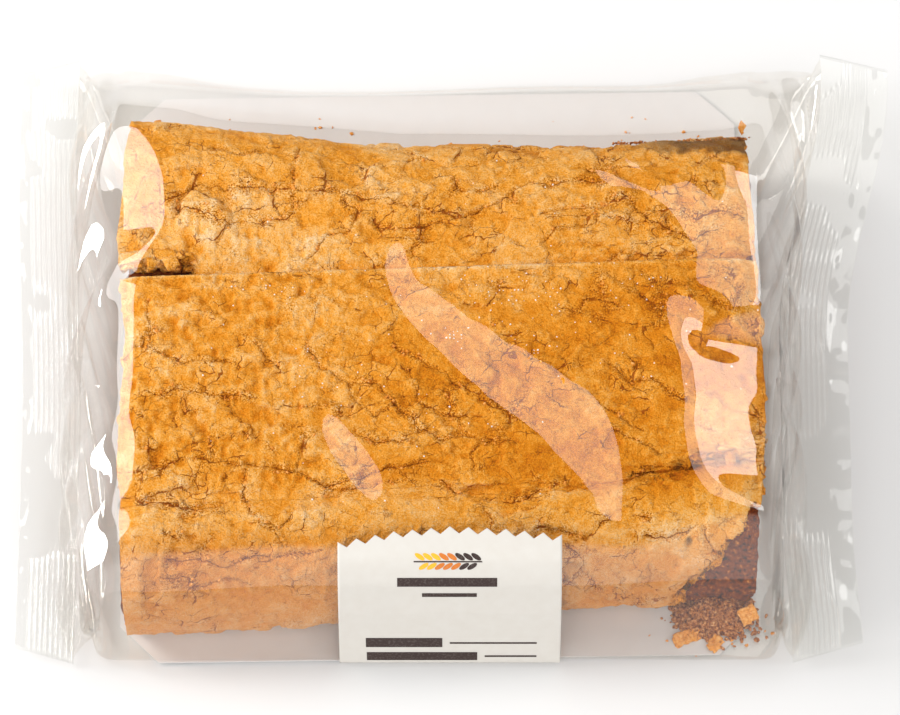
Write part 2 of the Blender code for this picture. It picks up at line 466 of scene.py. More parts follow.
@dataclass(frozen=True)
class CrustFinish:
    """Shortcrust brushed with egg: sandy baked plates, deeper orange in the hollows, where glaze pools and
    where painted shade is added.
    """

    name: str = "egg_washed_shortcrust"
    bakes: tuple = (
        (0.0, "#fad8a8"), (0.2, "#f7c074"), (0.45, "#f2a63a"), (0.68, "#e28b0e"), (1.0, "#bd6402")
    )
    # Painted shade in the recesses: dark brown for cracks and pinholes, deep orange for hairlines.
    crack: str = "#a04e02"
    hollow: str = "#c86e08"
    # Painted shade: the dark dull orange that the lower front is mixed towards.
    front_shade: str = "#c27030"
    burnt: str = "#3f2010"
    grain_mm: float = 0.42
    mottle_mm: float = 1.7
    chip_mm: float = 5.2
    dash_mm: float = 4.5
    fray_mm: float = 4.2
    grain_relief_mm: float = 0.4
    lump_relief_mm: float = 1.0

    def make(self) -> Material:
        """Builds the material.

        Returns:
            The material.
        """
        material, tree = new_material(self.name)
        place = add_node(tree, PLACES).outputs["Object"]
        read = {
            name: add_node(tree, "ShaderNodeAttribute", {"attribute_name": name}).outputs["Fac"]
            for name in ("bake", "crumb", "gap", "pit", "matt_and_shade", "burn")
        }
        grain = add_node(
            tree, NOISE, Vector=place, Scale=1.0 / (self.grain_mm * MM), Detail=2.0, Roughness=0.6
        ).outputs["Fac"]
        mottle = add_node(
            tree, NOISE, Vector=place, Scale=1.0 / (self.mottle_mm * MM), Detail=4.0, Roughness=0.6
        )
        even = add_node(tree, MATH, TIMES_PLUS, in_0=grain, in_1=-1.0, in_2=0.5).outputs[0]
        colour = self.skin(tree, read, even, mottle.outputs["Fac"])

        # Sandy zones: pinholes between the crumbs, darkened with painted shade.
        specks = add_node(
            tree, RANGE, SOFT, Value=grain, From_Min=0.34, From_Max=0.45, To_Min=0.85, To_Max=0.0
        ).outputs[0]
        specks = add_node(tree, MATH, TIMES, in_0=specks, in_1=read["crumb"]).outputs[0]
        hairline = self.hairlines(tree, place, mottle.outputs["Color"])

        # Cracks: the field counts half widths from the middle, and the grain frays it into beads.
        near = add_node(tree, MATH, TIMES_PLUS, in_0=even, in_1=2.4, in_2=read["gap"]).outputs[0]
        near = add_node(tree, MATH, ABSOLUTE, in_0=near).outputs[0]
        split = add_node(
            tree, RANGE, SOFT, Value=near, From_Min=0.5, From_Max=1.2, To_Min=0.9, To_Max=0.0
        ).outputs[0]
        # Pinholes, hairlines and cracks get their dark colours as painted shade; the burn is scorching and
        # spilled filling.
        for share, code in (
            (specks, self.crack), (hairline, self.hollow), (split, self.crack), (read["burn"], self.burnt)
        ):
            colour = add_node(tree, MIX, COLOURS, in_0=share, in_6=colour, in_7=tone(code)).outputs[2]

        height = grain
        for share, depth in ((split, -0.7), (hairline, -0.5), (specks, -0.6)):
            height = add_node(tree, MATH, TIMES_PLUS, in_0=share, in_1=depth, in_2=height).outputs[0]
        relief = add_node(tree, BUMP, Height=height, Strength=1.0, Distance=self.grain_relief_mm * MM)
        lumps = add_node(
            tree, BUMP, Height=mottle.outputs["Fac"], Strength=1.0, Distance=self.lump_relief_mm * MM,
            Normal=relief.outputs["Normal"],
        )
        rough = add_node(tree, MATH, TIMES_PLUS, in_0=read["matt_and_shade"], in_1=0.15, in_2=0.58).outputs[0]
        return show(material, add_node(
            tree, PRINCIPLED, Base_Color=colour, Roughness=rough, Normal=lumps.outputs["Normal"],
            Specular_IOR_Level=0.12,
        ))

    def skin(self, tree: bpy.types.NodeTree, read: dict, even: Socket, mottle: Socket) -> Socket:
        """Colours the skin by its bake: mottled, sandier in the crumb, and darker and duller on the lower
        front, as painted shade.

        Args:
            tree: The material's node tree.
            read: The mesh's fields by name.
            even: The grain, about 0 and darker where it is high.
            mottle: The coarser noise.

        Returns:
            The colour.
        """
        contrast = add_node(tree, MATH, TIMES_PLUS, in_0=read["crumb"], in_1=1.2, in_2=0.95).outputs[0]
        shade = add_node(tree, MATH, TIMES_PLUS, in_0=even, in_1=contrast, in_2=read["bake"]).outputs[0]
        shade = add_node(tree, MATH, in_0=shade, in_1=0.13).outputs[0]
        # Paler on raised bumps and deeper orange in dips and pits: partly glaze pooling, partly painted
        # highlight and shade.
        for share, weight in ((mottle, -0.46), (read["pit"], 0.50)):
            shade = add_node(tree, MATH, TIMES_PLUS, in_0=share, in_1=weight, in_2=shade).outputs[0]
        colour = add_node(tree, RAMP, {"stops": self.bakes}, Fac=shade).outputs["Color"]
        # Painted shade on the lower front: its colour is mixed half way to a dark dull orange.
        pale = add_node(tree, MIX, COLOURS, in_0=0.5, in_6=colour, in_7=tone(self.front_shade)).outputs[2]
        return add_node(tree, MIX, COLOURS, in_0=read["matt_and_shade"], in_6=colour, in_7=pale).outputs[2]

    def hairlines(self, tree: bpy.types.NodeTree, place: Socket, fray: Socket) -> Socket:
        """Draws hairlines: the edges of small chips, frayed by noise and broken into dashes.

        Args:
            tree: The material's node tree.
            place: Places in the object's own frame.
            fray: The noise that frays them.

        Returns:
            How much of a hairline each place is.
        """
        frayed = add_node(
            tree, VECTORS, TIMES_PLUS, in_0=fray, in_1=(self.fray_mm * MM,) * 3, in_2=place
        ).outputs["Vector"]
        chips = add_node(
            tree, "ShaderNodeTexVoronoi", {"feature": "DISTANCE_TO_EDGE"}, Vector=frayed,
            Scale=1.0 / (self.chip_mm * MM),
        ).outputs["Distance"]
        broken = add_node(
            tree, NOISE, Vector=place, Scale=1.0 / (self.dash_mm * MM), Detail=3.0
        ).outputs["Fac"]
        dashes = add_node(
            tree, RANGE, SOFT, Value=broken, From_Min=0.50, From_Max=0.62, To_Min=0.0, To_Max=0.036
        ).outputs[0]
        return add_node(
            tree, RANGE, SOFT, Value=chips, From_Min=0.0, From_Max=dashes, To_Min=0.6, To_Max=0.0
        ).outputs[0]


@dataclass(frozen=True)
class FoodFinish:
    """A food whose colour changes from lump to lump: filling, crumbs, flakes or sugar."""

    name: str
    stops: tuple
    lump_mm: float
    relief_mm: float
    roughness: float

    def make(self) -> Material:
        """Builds the material.

        Returns:
            The material.
        """
        material, tree = new_material(self.name)
        place = add_node(tree, PLACES).outputs["Object"]
        lumps = add_node(
            tree, NOISE, Vector=place, Scale=1.0 / (self.lump_mm * MM), Detail=6.0, Roughness=0.7
        ).outputs["Fac"]
        colour = add_node(tree, RAMP, {"stops": self.stops}, Fac=lumps).outputs["Color"]
        relief = add_node(tree, BUMP, Height=lumps, Strength=0.9, Distance=self.relief_mm * MM)
        return show(material, add_node(
            tree, PRINCIPLED, Base_Color=colour, Roughness=self.roughness,
            Normal=relief.outputs["Normal"], Specular_IOR_Level=0.3,
        ))


# Cooked apple with cinnamon: nearly black in its pits, toffee brown, pale where apple shows.
FILLING_FINISH = FoodFinish(
    "cinnamon_apple_filling",
    ((0.37, "#240a00"), (0.46, "#7c3400"), (0.58, "#a04c00"), (0.67, "#f0a040")), 1.5, 1.6, 0.5,
)
# Crumbs of filling and pastry mixed, drier and duller than the filling itself.
SPILL_FINISH = FoodFinish(
    "spilled_filling_crumbs",
    ((0.38, "#5a2404"), (0.47, "#b4641c"), (0.58, "#dc9450"), (0.66, "#ffd098")), 0.8, 0.8, 0.7,
)
# Baked pastry broken small: the crust's own orange, sandy and matt.
CRUMB_FINISH = FoodFinish(
    "baked_pastry_crumbs", ((0.32, "#bd6a10"), (0.50, "#f09c34"), (0.68, "#fcc97e")), 0.8, 0.3, 0.7,
)
# Grains of sugar: white, with a glint from each face.
SUGAR_FINISH = FoodFinish("white_sugar_grains", ((0.3, "#fff1de"), (0.7, "#ffffff")), 1.0, 0.1, 0.2)


@dataclass(frozen=True)
class FibreFinish:
    """Board or paper: two close tones that change with its fibre, which also lifts it a little."""

    name: str
    light: str
    shade: str
    fibre_mm: float
    detail: float
    lift: float
    lift_mm: float
    roughness: float

    def make(self) -> Material:
        """Builds the material.

        Returns:
            The material.
        """
        material, tree = new_material(self.name)
        place = add_node(tree, PLACES).outputs["Object"]
        fibre = add_node(
            tree, NOISE, Vector=place, Scale=1.0 / (self.fibre_mm * MM), Detail=self.detail
        ).outputs["Fac"]
        colour = add_node(
            tree, MIX, COLOURS, in_0=fibre, in_6=tone(self.light), in_7=tone(self.shade)
        ).outputs[2]
        relief = add_node(tree, BUMP, Height=fibre, Strength=self.lift, Distance=self.lift_mm * MM)
        return show(material, add_node(
            tree, PRINCIPLED, Base_Color=colour, Roughness=self.roughness, Normal=relief.outputs["Normal"]
        ))


# Coated carton board: bright and smooth, with a faint fibre, drawn coarser than real to show.
BOARD_FINISH = FibreFinish("white_carton_board", "#dddad9", "#d5d1cf", 7.0, 6.0, 0.1, 0.4, 0.5)
# Uncoated cream label paper: matt, and warmer than the board, its fibre drawn coarser too.
PAPER_FINISH = FibreFinish("cream_label_paper", "#d3cfc8", "#ccc6bd", 3.0, 8.0, 0.15, 0.3, 0.62)


@dataclass(frozen=True)
class FilmFinish:
    """Cast polypropylene film: clear, a trace of grey, and as glossy as glass."""

    name: str = "clear_polypropylene_film"
    tint: str = "#fbfaf8"
    head_on: float = 0.08
    roughness: float = 0.03
    rise: float = 4.4

    def make(self) -> Material:
        """Builds the material. Its mirror is strong, because both faces of the film reflect.

        Returns:
            The material.
        """
        material, tree = new_material(self.name)
        edge_on = add_node(tree, "ShaderNodeLayerWeight", Blend=0.5).outputs["Facing"]
        rise = add_node(tree, MATH, {"operation": "POWER"}, in_0=edge_on, in_1=self.rise).outputs[0]
        mirror = add_node(
            tree, MATH, TIMES_PLUS, in_0=rise, in_1=1.0 - self.head_on, in_2=self.head_on
        ).outputs[0]
        clear = add_node(tree, "ShaderNodeBsdfTransparent", Color=tone(self.tint))
        gloss = add_node(tree, "ShaderNodeBsdfGlossy", Color=tone("#ffffff"), Roughness=self.roughness)
        return show(material, add_node(
            tree, "ShaderNodeMixShader", in_0=mirror, in_1=clear.outputs[0], in_2=gloss.outputs[0]
        ))


# The film pressed into fine ridges at the seals, which blur what it mirrors.
CRIMPED_FILM = FilmFinish("crimped_polypropylene_film", "#fdfdfc", 0.035, 0.08)


INK_TONES = {"ochre": "#f2b01c", "orange": "#cc7016", "brown": "#2a120a"}


@dataclass(frozen=True)
class InkFinish:
    """Printing ink on uncoated paper: flat colour, a touch thinner where the fibre shows."""

    name: str
    code: str
    paper: str = "#d9cfc2"
    fibre_mm: float = 0.6

    def make(self) -> Material:
        """Builds the material.

        Returns:
            The material.
        """
        material, tree = new_material(self.name)
        place = add_node(tree, PLACES).outputs["Object"]
        fibre = add_node(
            tree, NOISE, Vector=place, Scale=1.0 / (self.fibre_mm * MM), Detail=3.0
        ).outputs["Fac"]
        worn = add_node(
            tree, RANGE, Value=fibre, From_Min=0.5, From_Max=0.8, To_Min=0.0, To_Max=0.10
        ).outputs[0]
        colour = add_node(
            tree, MIX, COLOURS, in_0=worn, in_6=tone(self.code), in_7=tone(self.paper)
        ).outputs[2]
        return show(material, add_node(tree, PRINCIPLED, Base_Color=colour, Roughness=0.5))


# ---- the strudel


@dataclass(frozen=True)
class Fissure:
    """One long crack: its route (x, length round the fold), half width and depth."""

    route: tuple
    width: float = 0.5
    depth: float = 0.9

    def away(self, x: np.ndarray, along: np.ndarray) -> np.ndarray:
        """Distance from each place to the crack.

        Args:
            x: Places along the strudel.
            along: Lengths round the fold.

        Returns:
            The distances, below zero on one side of the crack.
        """
        nearest = np.full(x.shape, 1e3)
        for (x0, s0), (x1, s1) in zip(self.route, self.route[1:]):
            run_x, run_s = x1 - x0, s1 - s0
            share = ((x - x0) * run_x + (along - s0) * run_s) / (run_x**2 + run_s**2)
            share = np.clip(share, 0.0, 1.0)
            away = np.hypot(x - x0 - share * run_x, along - s0 - share * run_s)
            side = np.sign((x - x0) * run_s - (along - s0) * run_x)
            nearest = np.where(away < np.abs(nearest), away * side, nearest)
        return nearest


FRONT_FISSURES = tuple(Fissure(*row) for row in (
    (((-87, 108), (-82, 106), (-73, 102), (-65, 103), (-59, 102)), 0.7),
    (((-85, 94), (-79, 93), (-73, 95), (-67, 93), (-54, 92)), 0.9),
    (((-78, 72), (-74, 74), (-67, 74), (-50, 72), (-42, 71), (-35, 65)), 1.1, 1.2),
    (((-69, 72), (-69, 66)), 0.6),
    (((-56, 71), (-56, 62)), 0.7, 1.2),
    (((-41, 81), (-42, 72)), 0.7),
    (((-65, 80), (-65, 75)), 0.4),
    (((-55, 108), (-48, 102)), 0.4),
    (((-84, 123), (-83, 107)), 0.3),
    (((-40, 107), (-36, 101), (-28, 96), (-21, 96), (-16, 91)), 0.8, 1.2),
    (((-16, 91), (-9, 83), (-4, 80), (2, 82), (7, 80), (17, 79)), 0.7, 1.2),
    (((-28, 96), (-28, 93), (-21, 87), (-16, 91)), 0.5),
    (((-27, 82), (-22, 80), (-13, 80)), 1.0, 1.2),
    (((-35, 65), (-28, 68), (-20, 70), (-9, 72)), 0.8, 1.2),
    (((-17, 108), (-13, 105), (-2, 99), (4, 94), (17, 86), (22, 84)), 0.7),
    (((-12, 100), (-10, 91), (-5, 89), (1, 86), (2, 82)), 0.4),
    (((6, 79), (5, 72)), 0.4),
    (((41, 104), (47, 98), (53, 98), (62, 92)), 0.5),
    (((39, 91), (45, 87), (50, 82)), 0.4),
    (((43, 83), (50, 78), (55, 74)), 0.4),
    (((34, 119), (37, 122), (45, 119)), 0.4),
    (((59, 126), (64, 124), (70, 121), (75, 119), (78, 124)), 0.9),
    (((-4, 65), (1, 61), (11, 59), (17, 61), (23, 64)), 0.9, 1.2),
    (((-84, 63), (-77, 62), (-71, 60), (-64, 61)), 1.5, 1.3),
    (((-78, 53), (-76, 52), (-73, 51)), 0.5),
    (((-77, 45), (-66, 45), (-63, 43), (-57, 44), (-53, 46), (-46, 45)), 0.9, 1.2),
    (((-54, 54), (-52, 54), (-48, 52), (-46, 48)), 0.5),
    (((-55, 60), (-52, 55), (-47, 53), (-44, 55)), 0.5),
    (((-78, 41), (-71, 40), (-67, 37), (-62, 39), (-57, 39), (-55, 37)), 0.6),
    (((-45, 45), (-40, 45), (-35, 46)), 0.6),
    (((47, 49), (52, 49)), 0.5),
    (((50, 45), (57, 44), (60, 45), (63, 46)), 0.9, 1.2),
    (((66, 45), (68, 42), (69, 40)), 0.6),
    (((30, 42), (34, 38), (34, 35), (37, 32), (39, 27)), 0.6),
    (((28, 31), (31, 31), (34, 35)), 0.4),
    (((52, 36), (52, 30)), 0.4),
))
BACK_FISSURES = tuple(Fissure(*row) for row in (
    (((-80, 28), (-76, 30), (-70, 33), (-63, 32), (-57, 33), (-51, 32), (-45, 34)), 1.1, 1.4),
    (((-77, 27), (-69, 26), (-59, 24), (-55, 25), (-46, 25), (-44, 27), (-44, 32)), 1.0, 0.9),
    (((-44, 34), (-44, 39), (-43, 47)), 0.6),
    (((-43, 33), (-35, 34), (-31, 33), (-22, 32), (-14, 31), (-6, 29)), 1.1, 0.9),
    (((-6, 29), (2, 27), (7, 30), (15, 33)), 0.8, 1.2),
    (((-31, 32), (-29, 29), (-26, 29), (-27, 25), (-29, 22), (-35, 21), (-40, 15)), 0.6, 1.2),
    (((-22, 25), (-17, 23), (-10, 23), (-4, 25)), 0.5),
    (((0, 39), (1, 36), (7, 36), (12, 37)), 0.5),
    (((16, 33), (17, 36), (21, 39), (26, 37), (31, 39), (40, 39)), 1.2),
    (((23, 28), (33, 30), (40, 30), (43, 32), (48, 32), (52, 28), (55, 25)), 0.9, 0.9),
    (((55, 25), (61, 22), (66, 20), (72, 23)), 1.2, 1.3),
    (((54, 29), (60, 28), (67, 25), (71, 28), (76, 28), (78, 26)), 0.9, 0.9),
    (((25, 27), (39, 28), (39, 25), (28, 23), (24, 18)), 0.4),
    (((48, 13), (49, 18), (53, 18)), 0.4),
    (((-67, 44), (-59, 42), (-54, 45)), 0.6),
))


class CrustRelief:
    """Plates, cracks, crumbly seams and lumps of the baked crust, for whole arrays of places."""

    SEEDS = (11, 12, 13)
    BACK_SHIFT = 300.0
    MOST = 0.75
    WARP = (7.0, 3.0)
    PLATE = (12.0, 8.0)
    SLANTED_PLATE = (19.0, 6.4)
    SLANT = (0.82, 0.57)
    CHIP = (4.4, 3.4)
    BURNT_SPOTS = ((64.4, -44.3, 1.6), (60.3, -47.2, 1.8), (62.5, -67.0, 1.4))

    def __init__(self, x: np.ndarray, y: np.ndarray, length: np.ndarray, is_front: bool) -> None:
        """Works out the relief.

        Args:
            x: Places along the strudel.
            y: Places across it.
            length: Lengths round the section.
            is_front: Whether this is the front fold.
        """
        self.x, self.y, self.length = x, y, length
        self.is_front = is_front
        self.along = length if is_front else length + self.BACK_SHIFT
        self.one, self.two, self.three = (Grain(seed) for seed in self.SEEDS)
        self.on_top = ease((y + 56.0) / 8.0) * ease((14.0 - y) / 5.0)
        self.slanted = ease((x - 2.0) / 14.0) * self.on_top
        self.crinkled = ease((-22.0 - x) / 16.0) * ease((y + 56.0) / 8.0) * ease((30.0 - y) / 8.0)
        self.crack_plates()
        self.open_fissures()
        self.height -= 0.8 * np.maximum(self.height - self.MOST, 0.0)

    def crack_plates(self) -> None:
        """Raises plates and chips of crust with cracks between them, and the lumps under them."""
        x, along, one, two, three = self.x, self.along, self.one, self.two, self.three
        size, reach = self.WARP
        warp_x = x + reach * one.layered(x / size, along / size, 4)
        warp_s = along + reach * two.layered(x / size + 40.0, along / size, 4)
        edge, plate, beyond = one.cells(warp_x / self.PLATE[0], warp_s / self.PLATE[1])
        cosine, sine = self.SLANT
        run = cosine * warp_x - sine * warp_s
        side = sine * warp_x + cosine * warp_s
        long, wide = self.SLANTED_PLATE
        slant_edge, slant_plate, slant_beyond = two.cells(run / long + 5.0, side / wide)
        is_slant = self.slanted > 0.5
        edge = np.where(is_slant, slant_edge * 8.5, edge * 9.5)
        plate = np.where(is_slant, 0.6 * slant_plate, plate)
        beyond = np.where(is_slant, 0.6 * slant_beyond, beyond)
        small, chip, chip_beyond = three.cells(warp_x / self.CHIP[0] + 3.0, warp_s / self.CHIP[1])
        small = small * 3.9
        parted = 1.2 * two.value(x / 14.0, along / 11.0) + 0.5 * three.value(x / 4.0, along / 4.0)
        split = ease(0.40 + parted)
        chipped = ease(0.34 + 1.3 * one.value(x / 10.0 + 9.0, along / 9.0))
        beads = ease(0.40 + 1.5 * three.value(x / 1.5 + 70.0, along / 1.5))
        self.dashes = ease(0.45 + 1.7 * two.value(x / 3.4 + 70.0, along / 3.4)) * (0.3 + 0.9 * beads)
        self.crumbly = ease(0.25 + 1.6 * one.value(x / 5.5 + 31.0, along / 5.5))
        self.channel = 0.9 * split * (1.0 - ease(edge / 2.1)) * self.crumbly
        self.crumbs = three.layered(x / 1.0, along / 1.0, 2)
        plate_gap = edge * np.sign(plate - beyond) / (0.20 * split * self.dashes + 0.004)
        chip_gap = small * np.sign(chip - chip_beyond) / (0.13 * chipped * self.dashes + 0.004)
        self.gap = np.where(np.abs(plate_gap) < np.abs(chip_gap), plate_gap, chip_gap)
        self.wrinkle = 1.0 - 2.0 * np.abs(two.layered(x / 2.8, along / 4.6, 2))
        self.dimple = one.layered(x / 1.9, along / 1.7, 2)
        mean = (plate + beyond) / 2.0
        self.step = mean + (plate - mean) * ease(edge / 0.50)
        mean = (chip + chip_beyond) / 2.0
        self.chip_step = mean + (chip - mean) * ease(small / 0.45)
        height = 0.85 * one.layered(x / 24.0, along / 20.0, 2)
        height += 0.42 * two.layered(x / 8.0, along / 7.0, 2)
        height += (0.22 + 0.42 * self.crinkled) * self.wrinkle + (0.30 + 0.10 * self.crinkled) * self.dimple
        height += 0.75 * (0.3 + split) * self.step + 0.46 * (0.4 + chipped) * self.chip_step
        height -= 0.36 * (0.15 + split) * bell(edge / 0.7) + 0.20 * (0.3 + chipped) * bell(small / 0.5)
        self.height = height
        # Painted highlight: paler rims along the edges of plates and chips.
        self.rim_highlight = 0.8 * split * bell((edge - 0.55) / 0.4) + 0.5 * chipped * bell((small - 0.45) / 0.3)

    def open_fissures(self) -> None:
        """Opens the long cracks, with their lips and the crumbly channels beside them."""
        x, along = self.x, self.along
        wander_x = x + 1.2 * self.one.layered(x / 3.6, along / 3.6, 3)
        wander_s = self.length + 1.2 * self.two.layered(x / 3.6, along / 3.6, 3)
        breadth = np.maximum(0.55 + 1.1 * self.two.value(x / 5.2 + 20.0, along / 5.2), 0.12)
        for fissure in FRONT_FISSURES if self.is_front else BACK_FISSURES:
            across = fissure.away(wander_x, wander_s)
            away = np.abs(across)
            half = fissure.width * breadth
            self.height -= fissure.depth * 0.5 * bell(away / (0.35 + 0.35 * half))
            self.height += 0.22 * bell((away - half - 0.8) / 0.7)
            # Painted highlight: paler rims along each crack.
            self.rim_highlight = np.maximum(self.rim_highlight, bell((away - 0.5 * half - 0.55) / 0.4))
            beside = (1.0 - ease((away - 1.3 * half) / 0.8)) * ease(0.5 + 1.2 * self.crumbly)
            self.channel = np.maximum(self.channel, beside)
            gap = across / (0.03 + 0.30 * half * (0.10 + self.dashes))
            self.gap = np.where(np.abs(gap) < np.abs(self.gap), gap, self.gap)
        self.height += self.channel * (0.42 * self.crumbs + 0.05)

    def browning(self) -> np.ndarray:
        """How far each place is baked, with less on the rims of plates and cracks as a painted highlight.

        Returns:
            The shares, from pale at 0 to deep orange at 1.
        """
        x, y, along = self.x, self.y, self.along
        bake = 0.30 + 0.10 * ease((18.0 - y) / 14.0) * ease((y + 62.0) / 12.0)
        bake += 0.14 * bell((y + 47.0) / 10.0) * bell((x - 20.0) / 38.0)
        bake += 0.14 * bell((x - 55.0) / 25.0) * bell((y + 12.0) / 30.0)
        bake += (0.15 + 0.10 * self.slanted) * self.one.layered(x / 20.0, along / 20.0, 3)
        bake += 0.05 * self.three.layered(x / 6.0, along / 5.0, 2) - 0.08 * self.step
        # Less bake on the rims of plates and cracks is a painted highlight.
        bake += 0.14 * self.channel - 0.08 * self.chip_step - 0.10 * self.rim_highlight
        return bake - 0.06 * (1.0 - self.on_top) * ease((-40.0 - y) / 10.0)

    def burning(self) -> np.ndarray:
        """How burnt each place is: a few spots, and spilled filling along the back's top edge.

        Returns:
            The shares, from 0 to 1 or a little over.
        """
        x, y = self.x, self.y
        broken = ease(0.7 + 1.6 * self.two.value(x / 1.6, y / 1.6))
        burn = sum(
            bell(np.hypot(x - spot_x, y - spot_y) / radius) * broken
            for spot_x, spot_y, radius in self.BURNT_SPOTS
        )
        if self.is_front:
            return burn
        ragged = 2.2 * self.three.layered(x / 3.0, self.length / 3.0, 3)
        spilled = ease((y - 48.0 + ragged) / 3.0) * ease((60.0 + ragged - self.length) / 4.0)
        return burn + 0.9 * spilled * ease((x - 40.0) / 24.0)

    def fields(self) -> dict:
        """The numbers that the crust's finish reads.

        Returns:
            Arrays by name: bake, crumb, pit, the lower front's matt finish and painted shade, and burn,
                from 0 to 1, and gap.
        """
        # Deeper orange in dimples, wrinkles and between crumbs: glaze pooling there, and painted shade.
        pit = 0.5 - 0.28 * self.dimple - 0.30 * self.wrinkle * (0.4 + self.crinkled)
        fields = {
            "bake": self.browning(),
            "crumb": self.channel,
            "pit": pit - 0.45 * self.crumbs * self.channel,
            # Matt, and darkened with painted shade, on the lower front.
            "matt_and_shade": ease((-60.0 - self.y) / 16.0),
            "burn": 0.8 * self.burning(),
        }
        return {name: np.clip(values, 0.0, 1.0) for name, values in fields.items()} | {"gap": self.gap}


@dataclass
class Strudel:
    """The strudel: a front fold of crust that laps over a back fold, round the filling."""

    pitch: float = 0.52
    back_pitch: float = 0.55
    crust: float = 1.9
    length: float = 174.0
    front_section: tuple = (
        (-70.5, 1.3), (-79.0, 2.4), (-84.8, 9.5), (-83.6, 20.5), (-78.0, 29.2), (-70.5, 34.0),
        (-63.0, 35.2), (-56.8, 33.4), (-50.5, 34.5), (-36.0, 36.2), (-18.0, 36.7), (-2.0, 36.1),
        (11.5, 35.4),
    )
    back_section: tuple = (
        (1.0, 31.2), (7.5, 32.4), (13.5, 34.0), (21.0, 34.8), (30.0, 35.6), (40.0, 35.0),
        (48.6, 31.6), (54.2, 26.0), (56.6, 18.0), (56.0, 8.6), (53.0, 1.3),
    )
    left_end: tuple = ((-85.0, -77.0, -47.0, -8.0, 22.0, 60.0), (-88.0, -89.0, -90.6, -89.8, -92.6, -90.6))
    right_end: tuple = ((-85.0, -68.0, -32.0, 22.0, 55.0), (79.0, 81.0, 84.0, 82.4, 80.8))
    crease: tuple = ((-90.0, -41.0, -7.0, 17.0, 39.0, 63.0, 82.0), (0.0, 0.6, 3.6, -0.6, 1.6, 7.5, 12.5))
    nominal_x: tuple = (-91.0, 82.5)
    crease_share: float = 0.475
    corner_share: float = 0.76
    ply_gap: float = 2.3
    tear_shift: float = 5.0
    # how far back the rear edge wanders along the strudel: of the crust, and of the filling in it
    back_wander: tuple = ((-91.0, -16.0, 40.0, 80.0), (8.0, 0.0, -0.6, 3.0))
    filling_wander: tuple = ((-91.0, -16.0, 40.0, 80.0), (7.0, 0.0, -0.6, 2.4))
    # X of the torn edge at each height
    tear: tuple = ((0.0, 10.0, 24.0, 30.0, 33.0), (51.5, 56.0, 64.0, 72.0, 83.0))
    filling_x: tuple = (-89.6, 171.2)
    filling_y: tuple = (-79.4, 53.6)
    filling_z: tuple = (2.2, 28.6)
    surfaces: list = field(default_factory=list)

    def end_x(self, y: np.ndarray, ends: tuple, seed: int) -> np.ndarray:
        """X of one cut end at each place across the strudel."""
        return np.interp(y, *ends) + 0.5 * Grain(seed).layered(y / 6.0, y * 0.0, 3)

    @staticmethod
    def seam_lean(across: np.ndarray) -> np.ndarray:
        """How far back the seam between the folds lies at each x."""
        return -2.4 + 6.2 * (across + 89.0) / 169.0

    def shifted(self, section: tuple, x: np.ndarray, is_front: bool) -> np.ndarray:
        """The section's points at each x, moved as the strudel's outline wanders.

        Args:
            section: Points (y, z) at the middle.
            x: Places along the strudel.
            is_front: Whether this is the front fold.

        Returns:
            Array (x, points, 2).
        """
        points = np.repeat(np.array(section)[None], len(x), axis=0)
        y = points[..., 0]
        across = x[:, None]
        if is_front:
            slant = 8.0 * ease((across + 87.0) / 145.0) * ease((-46.0 - y) / 26.0)
            crease = np.interp(x, *self.crease)[:, None] * bell((y + 57.5) / 9.0)
            points[..., 0] = y + slant + crease + self.seam_lean(across) * ease((y + 6.0) / 15.0)
            return points
        wander = np.interp(x, *self.back_wander)[:, None]
        ragged = 4.0 * Grain(18).layered(x / 2.2, x * 0.0, 3)[:, None]
        gape = ease((-66.0 + ragged - across) / 9.0) * ease((16.0 - y) / 8.0)
        lean = self.seam_lean(across) * ease((24.0 - y) / 12.0)
        points[..., 0] = y + wander * ease((y - 18.0) / 20.0) + lean
        points[..., 0] += gape * (15.5 - 0.8 * y)
        points[..., 1] += gape * 1.2
        return points

    def fold(self, section: tuple, is_front: bool) -> tuple[np.ndarray, dict]:
        """Shapes one fold of crust.

        Args:
            section: Points (y, z) of its section.
            is_front: Whether this is the front fold.

        Returns:
            Points (columns, rows, 3) and the fields its material reads.
        """
        mean = np.array(section)
        pitch = self.pitch if is_front else self.back_pitch
        run = even_places(mean, 2)[1][-1]
        places, lengths = even_places(mean, int(run / pitch))
        columns = int(self.length / pitch)
        nominal = np.linspace(*self.nominal_x, columns)
        line = spline(self.shifted(section, nominal, is_front), places)
        y, z = line[..., 0], line[..., 1]
        share = np.linspace(0.0, 1.0, columns)[:, None]
        left = self.end_x(y, self.left_end, 16)
        right = self.end_x(y, self.right_end, 17)
        x = left * (1 - share) + right * share
        from_end = np.minimum(x - left, right - x)
        top = ease((z - 22.0) / 8.0)
        pressed = 0.9 * bell((x - 33.0) / 20.0) * bell((y + 6.0) / 18.0) if is_front else 0.0
        z = z - top * (1.6 * bell(from_end / 3.2) + 1.3 * ease((x - 66.0) / 15.0) + pressed)
        points = np.stack([x, y, z], axis=2)
        along = np.repeat(lengths[None], columns, axis=0)
        relief = CrustRelief(x, y, along, is_front)
        fields = relief.fields()
        skin = facing(points)
        # Painted highlight: a pale line along the front fold's edge, at the seam.
        if is_front:
            fields["bake"] -= 0.22 * bell((lengths[-1] - lengths[None]) / 0.9)
        rim = ease(np.minimum(lengths, lengths[-1] - lengths) / 1.5)[None]
        points = points + skin * (relief.height * (0.35 + 0.65 * rim))[..., None]
        return points, fields

    def torn(self, points: np.ndarray, shift: float) -> np.ndarray:
        """Whether each point of a ply is past the tear at the right front corner.

        Args:
            points: The ply's points, with x, y and z on the last axis.
            shift: How far to the right its tear lies.

        Returns:
            One truth value for each point.
        """
        x, y, z = points[..., 0], points[..., 1], points[..., 2]
        ragged = 1.3 * Grain(71).layered(x / 4.0, z / 4.0, 3)
        return (x > np.interp(z, *self.tear) + shift + ragged) & (y < -57.0)

